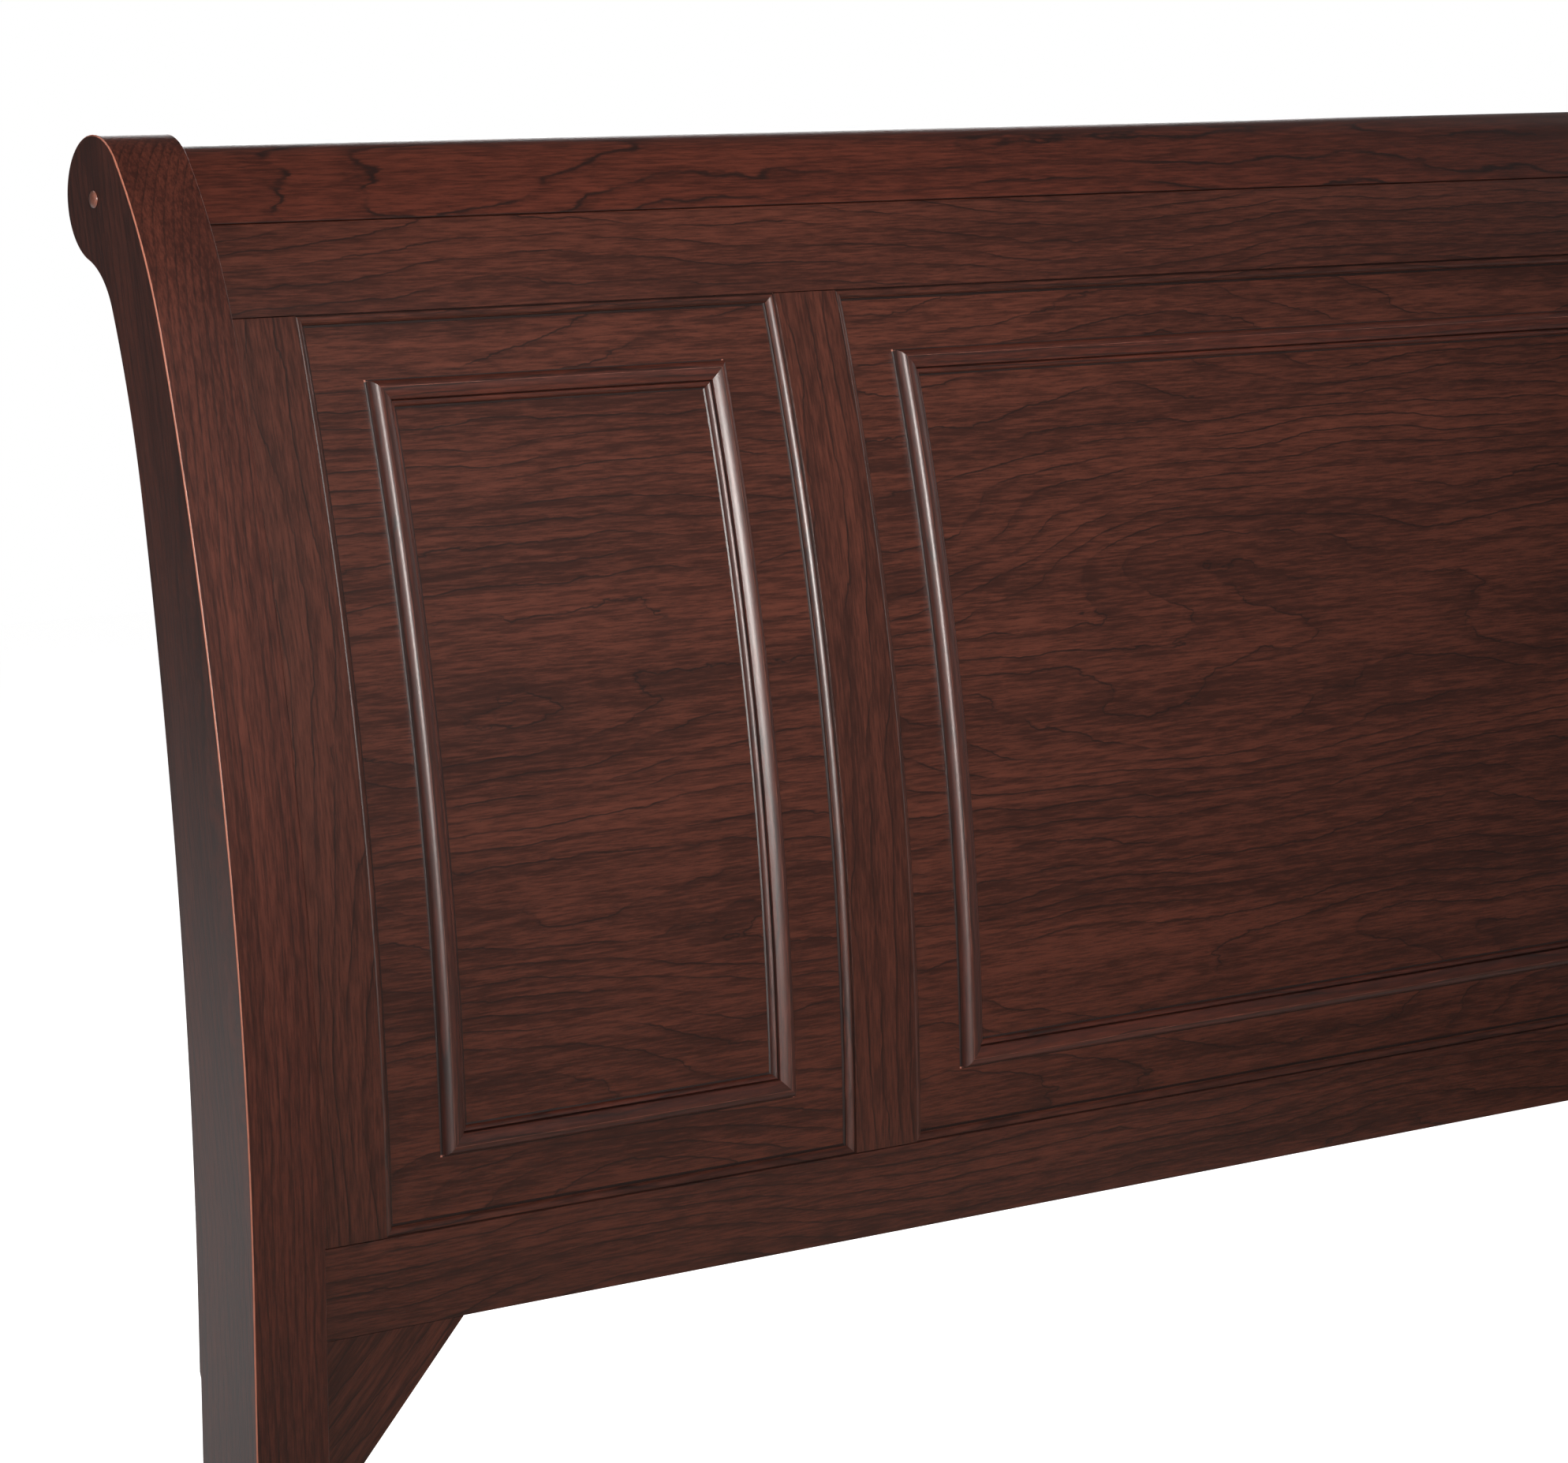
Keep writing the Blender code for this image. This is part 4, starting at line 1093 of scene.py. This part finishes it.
# %% Side rails and ledgers
RAIL_OUTER = HALF_WIDTH - SIDE_RAIL_INSET
RAIL_INNER = RAIL_OUTER - SIDE_RAIL_THICKNESS
RAIL_SPAN = (MIDDLE - MATTRESS_SPACE / 2 + GAP, MIDDLE + MATTRESS_SPACE / 2 - GAP)
LEDGER_SPAN = (MIDDLE - LEDGER_LENGTH / 2, MIDDLE + LEDGER_LENGTH / 2)
LEDGER_TOP = LEDGER_BOTTOM + LEDGER_SIZE
for side, sign in SIDES:
    wide = sorted((sign * RAIL_INNER, sign * RAIL_OUTER))
    tall = (SIDE_RAIL_BOTTOM, SIDE_RAIL_BOTTOM + SIDE_RAIL_HEIGHT)
    rail = shown(f"side_rail_{side}", eased_box((wide, RAIL_SPAN, tall), 0.0015))
    stand_in(with_grain(rail, "YZX", FRAME_CHERRY, (0.0, -0.22, 0.0)), f"side_rail_{side}")
    ledger_face = RAIL_INNER - GAP
    wide = sorted((sign * (ledger_face - LEDGER_SIZE), sign * ledger_face))
    ledger = shown(f"slat_ledger_{side}", eased_box((wide, LEDGER_SPAN, (LEDGER_BOTTOM, LEDGER_TOP)), 0.001))
    stand_in(with_grain(ledger, "YZX", SOFTWOOD, (0.3, 0.1, 0.0)), f"slat_ledger_{side}")

# %% Slats
SLAT_PITCH = MATTRESS_SPACE / SLAT_COUNT
SLAT_HALF = RAIL_INNER - SLAT_END_GAP
SLAT_BOTTOM = LEDGER_TOP + GAP
SLAT_ROWS = [MIDDLE + (i - (SLAT_COUNT - 1) / 2) * SLAT_PITCH for i in range(SLAT_COUNT)]
for number, y in enumerate(SLAT_ROWS, 1):
    spans = ((-SLAT_HALF, SLAT_HALF), (y - SLAT_WIDTH / 2, y + SLAT_WIDTH / 2),
             (SLAT_BOTTOM, SLAT_BOTTOM + SLAT_THICKNESS))
    slat = shown(f"slat_{number}", eased_box(spans, 0.0015))
    shift = (1.7 * number, 0.11 * number - y, 0.0)
    stand_in(with_grain(slat, "XYZ", SOFTWOOD, shift), f"slat_{number}")
print("slats at y", [round(y, 3) for y in SLAT_ROWS])

# %% Legs with a bore, and the feet that screw into them
DRILL_START = 0.003          # how far below the leg the drill starts


def make_leg(end, y):
    half = LEG_SIDE / 2
    name = f"centre_leg_{end}"
    block = shown(name, eased_box(((-half, half), (y - half, y + half), (LEG_BOTTOM, LEDGER_TOP)), 0.0012))
    depth = BORE_TOP - LEG_BOTTOM + DRILL_START
    radius = STUD_RADIUS + BORE_CLEARANCE
    drill = turned(name + "_drill", [(0, depth), (radius, depth), (radius, 0), (0, 0)],
                   Matrix.Translation((0, y, LEG_BOTTOM - DRILL_START)))
    bore = block.modifiers.new("bore", "BOOLEAN")
    bore.object = drill
    bored = applied(block)
    bpy.data.objects.remove(drill, do_unlink=True)
    stand_in(with_grain(bored, "ZXY", SOFTWOOD, (0.5, 0.2, -y)), name)


def foot_profile():
    """Threaded stud over a pad with a rounded rim, from top to bottom."""
    crest, root, pitch = STUD_RADIUS - 0.0001, STUD_RADIUS - 0.0008, 0.0015
    profile = [(0.0, STUD_TOP), (root, STUD_TOP), (crest, STUD_TOP - 0.0008)]
    height = STUD_TOP - 0.0008
    while height - pitch > FOOT_PAD_HEIGHT:
        profile += [(root, height - pitch / 2), (crest, height - pitch)]
        height -= pitch
    profile += [(root, FOOT_PAD_HEIGHT)]
    rim = 0.002
    corners = [(FOOT_PAD_RADIUS - rim, FOOT_PAD_HEIGHT - rim, 0), (FOOT_PAD_RADIUS - rim, rim, QUARTER)]
    for radius, height, start in corners:
        angles = [start + QUARTER * i / 4 for i in range(5)]
        profile += [(radius + rim * math.sin(a), height + rim * math.cos(a)) for a in angles]
    return profile + [(0.0, 0.0)]


for end, y in (("foot", SLAT_ROWS[1]), ("head", SLAT_ROWS[2])):
    make_leg(end, y)
    foot = turned(f"levelling_foot_{end}", foot_profile(), Matrix.Translation((0, y, 0)))
    foot.data.materials.append(BLACK_PLASTIC)
    stand_in(smoothed(foot), f"levelling_foot_{end}", "foot_pad_" + end)

# %% [markdown]
# ## Screws in a row
# Countersunk screws hold the ledgers to the rails and the slats to the ledgers. One head is
# modelled, with its cross recess, and a small tree sets it at even steps along a line. The head
# has few faces because it is repeated.

# %% One screw head
HEAD_RADIUS = 0.0042


def screw_head():
    """Flat head with a cross recess, looking along +Z, as a guide."""
    shaped = bmesh.new()
    arm, half = 0.0026, 0.0006

    def ring(radius, height, count=16):
        return [shaped.verts.new((radius * math.cos(2 * math.pi * (i + 0.5) / count),
                                  radius * math.sin(2 * math.pi * (i + 0.5) / count), height))
                for i in range(count)]

    def cross(size, height):
        points = [(arm, -half), (arm, half), (half, half), (half, arm), (-half, arm), (-half, half),
                  (-arm, half), (-arm, -half), (-half, -half), (-half, -arm), (half, -arm), (half, -half)]
        return [shaped.verts.new((x * size, y * size, height)) for x, y in points]

    def loop_edges(loop):
        return [shaped.edges.get((a, b)) or shaped.edges.new((a, b))
                for a, b in zip(loop, loop[1:] + loop[:1])]

    loops = [ring(HEAD_RADIUS * 0.7, -0.0012), ring(HEAD_RADIUS, -0.0001), ring(HEAD_RADIUS * 0.94, 0.0002),
             cross(1.0, 0.0002), cross(0.8, -0.0011)]
    for upper, lower in zip(loops, loops[1:]):
        bmesh.ops.bridge_loops(shaped, edges=loop_edges(upper) + loop_edges(lower))
    shaped.faces.new(loops[0])
    shaped.faces.new(loops[-1])
    bmesh.ops.recalc_face_normals(shaped, faces=shaped.faces)
    item = shown("screw_head", shaped)
    GUIDES.append(item)
    return item


SCREW_HEAD = screw_head()
print("one screw head:", len(SCREW_HEAD.data.polygons), "faces")

# %% The row of screws
def make_row_tree():
    inputs = (("Head", "Object"), ("Count", "Int"), ("Start", "Vector"), ("Step", "Vector"),
              ("Facing", "Vector"), ("Finish", "Material"))
    tree, given = new_group("row_of_screws", inputs)
    row = tree.node("GeometryNodeMeshLine", {"mode": "OFFSET"},
                    {"Count": given["Count"], "Start Location": given["Start"],
                     "Offset": given["Step"]})[0]
    head = tree.node("GeometryNodeObjectInfo", None, {"Object": given["Head"]})["Geometry"]
    spin = tree.node("FunctionNodeRandomValue", {"data_type": "FLOAT"},
                     {2: 0.0, 3: math.pi, "Seed": 7})[1]
    upright = tree.node("FunctionNodeAlignRotationToVector", {"axis": "Z"},
                        {"Vector": given["Facing"]})[0]
    own = tree.node("FunctionNodeAxisAngleToRotation", None, {"Axis": (0, 0, 1), "Angle": spin})[0]
    both = tree.node("FunctionNodeRotateRotation", {"rotation_space": "LOCAL"},
                     {0: upright, 1: own})[0]
    placed = tree.node("GeometryNodeInstanceOnPoints", None,
                       {"Points": row, "Instance": head, "Rotation": both})[0]
    close_group(tree, placed, given["Finish"])
    return tree


SCREW_ROWS = make_row_tree()


def screw_row(name, count, start, step, facing):
    item = show(name, bpy.data.meshes.new(name))
    add_group(item, SCREW_ROWS, {"Head": SCREW_HEAD, "Count": count, "Start": start, "Step": step,
                                 "Facing": facing, "Finish": ZINC})
    row = applied(item)
    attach(row, "frame")


LEDGER_SCREWS = 7
SCREW_MARGIN = 0.05          # from a ledger's end to its first screw
SLAT_SCREW_INSET = 0.014     # from a slat's end
for side, sign in SIDES:
    start = (sign * (RAIL_INNER - GAP - LEDGER_SIZE), LEDGER_SPAN[0] + SCREW_MARGIN,
             LEDGER_BOTTOM + LEDGER_SIZE / 2)
    pitch = (LEDGER_LENGTH - 2 * SCREW_MARGIN) / (LEDGER_SCREWS - 1)
    screw_row(f"ledger_screws_{side}", LEDGER_SCREWS, start, (0, pitch, 0), (-sign, 0, 0))
    start = (sign * (SLAT_HALF - SLAT_SCREW_INSET), SLAT_ROWS[0], SLAT_BOTTOM + SLAT_THICKNESS)
    screw_row(f"slat_screws_{side}", SLAT_COUNT, start, (0, SLAT_PITCH, 0), (0, 0, 1))

# %% Rail hooks keep their plain shape and get zinc
for end in ("head", "foot"):
    for side, _ in SIDES:
        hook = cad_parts[f"rail_hook_{end}_{side}"]
        for slot in hook.material_slots:
            slot.material = ZINC

# %% [markdown]
# ## A camera and a plain studio
# The camera stands in front of the headboard's left end, above its top, and looks slightly down.
# A warm light above the camera draws the bright lines on the mouldings, and fades toward the
# floor. The others keep the rest of the bed readable. The floor is pale grey to the light, but
# it and the room look white to the camera: a Light Path node tells the camera's rays from the
# rest. That gives a plain white ground, at the price of the bed's shadow.

# %% The camera
SENSOR = 36.0
bpy.context.scene.view_settings.view_transform = "Standard"
lens = bpy.data.cameras.new("camera")
lens.sensor_width = SENSOR
lens.lens = 99.78
camera = bpy.data.objects.new("camera", lens)
camera.location = (-1.930, -1.1993, 1.3137)
camera.rotation_euler = (math.radians(90 - 9.90), 0, math.radians(-33.83))
bpy.context.scene.collection.objects.link(camera)
bpy.context.scene.camera = camera

# %% Floor and light
FLOOR_SIZE = 14.0
FLOOR_GLOW = 0.92


def area_light(name, location, target, size, watts, spread, colour=(1, 1, 1)):
    lamp = bpy.data.lights.new(name, "AREA")
    lamp.shape = "RECTANGLE"
    lamp.size, lamp.size_y = size
    lamp.energy = watts
    lamp.spread = math.radians(spread)
    lamp.color = colour
    item = bpy.data.objects.new(name, lamp)
    item.location = location
    aim = Vector(target) - Vector(location)
    item.rotation_euler = aim.to_track_quat("-Z", "Y").to_euler()
    bpy.context.scene.collection.objects.link(item)


def make_floor():
    bpy.ops.mesh.primitive_plane_add(size=FLOOR_SIZE)
    floor = bpy.context.active_object
    floor.name = "floor"
    pale = bpy.data.materials.new("pale_floor")
    pale.use_nodes = True
    tree = Tree(pale.node_tree)
    shader = pale.node_tree.nodes["Principled BSDF"]
    shader.inputs["Base Color"].default_value = (0.62, 0.62, 0.62, 1)
    shader.inputs["Roughness"].default_value = 0.9
    shader.inputs["Emission Strength"].default_value = FLOOR_GLOW
    seen = tree.node("ShaderNodeLightPath")["Is Camera Ray"]
    tree.owner.links.new(mix(tree, seen, (0, 0, 0, 1), (1, 1, 1, 1)), shader.inputs["Emission Color"])
    floor.data.materials.append(pale)


make_floor()
LIGHTS = (("key", (-1.5, -2.1, 2.05), (-0.38, 1.05, 1.16), (0.9, 1.0), 7.6, 36, (1.0, 0.93, 0.89)),
          ("side_fill", (-3.6, 0.0, 1.8), (-0.8, 1.0, 0.9), (3.6, 2.4), 10.0, 120),
          ("behind", (-1.2, 3.3, 2.3), (-1.5, 3.5, 0.0), (3.0, 2.0), 38, 120),
          ("back_fill", (1.6, 4.6, 2.0), (0.0, 1.1, 0.6), (2.4, 1.6), 18, 80),
          ("foot_fill", (-1.5, -2.7, 2.3), (0.0, -1.25, 0.3), (1.4, 0.8), 8, 44),
          ("right_fill", (4.0, 1.7, 1.9), (0.8, 0.1, 0.4), (2.4, 1.8), 15, 70))
for light in LIGHTS:
    area_light(*light)
print("lights:", len(LIGHTS))
world = bpy.context.scene.world or bpy.data.worlds.new("studio")
bpy.context.scene.world = world
world.use_nodes = True
room = Tree(world.node_tree)
background = world.node_tree.nodes["Background"]
seen = room.node("ShaderNodeLightPath")["Is Camera Ray"]
room.owner.links.new(mix(room, seen, (0.085, 0.085, 0.085, 1), (1.0, 1.0, 1.0, 1)),
                     background.inputs["Color"])

# %% [markdown]
# ## Removing the guides
# The guides that the trees followed aren't part of the bed, so they go.

# %% Remove the guides
for guide in GUIDES:
    bpy.data.objects.remove(guide, do_unlink=True)
print("pieces made:", len(MADE))
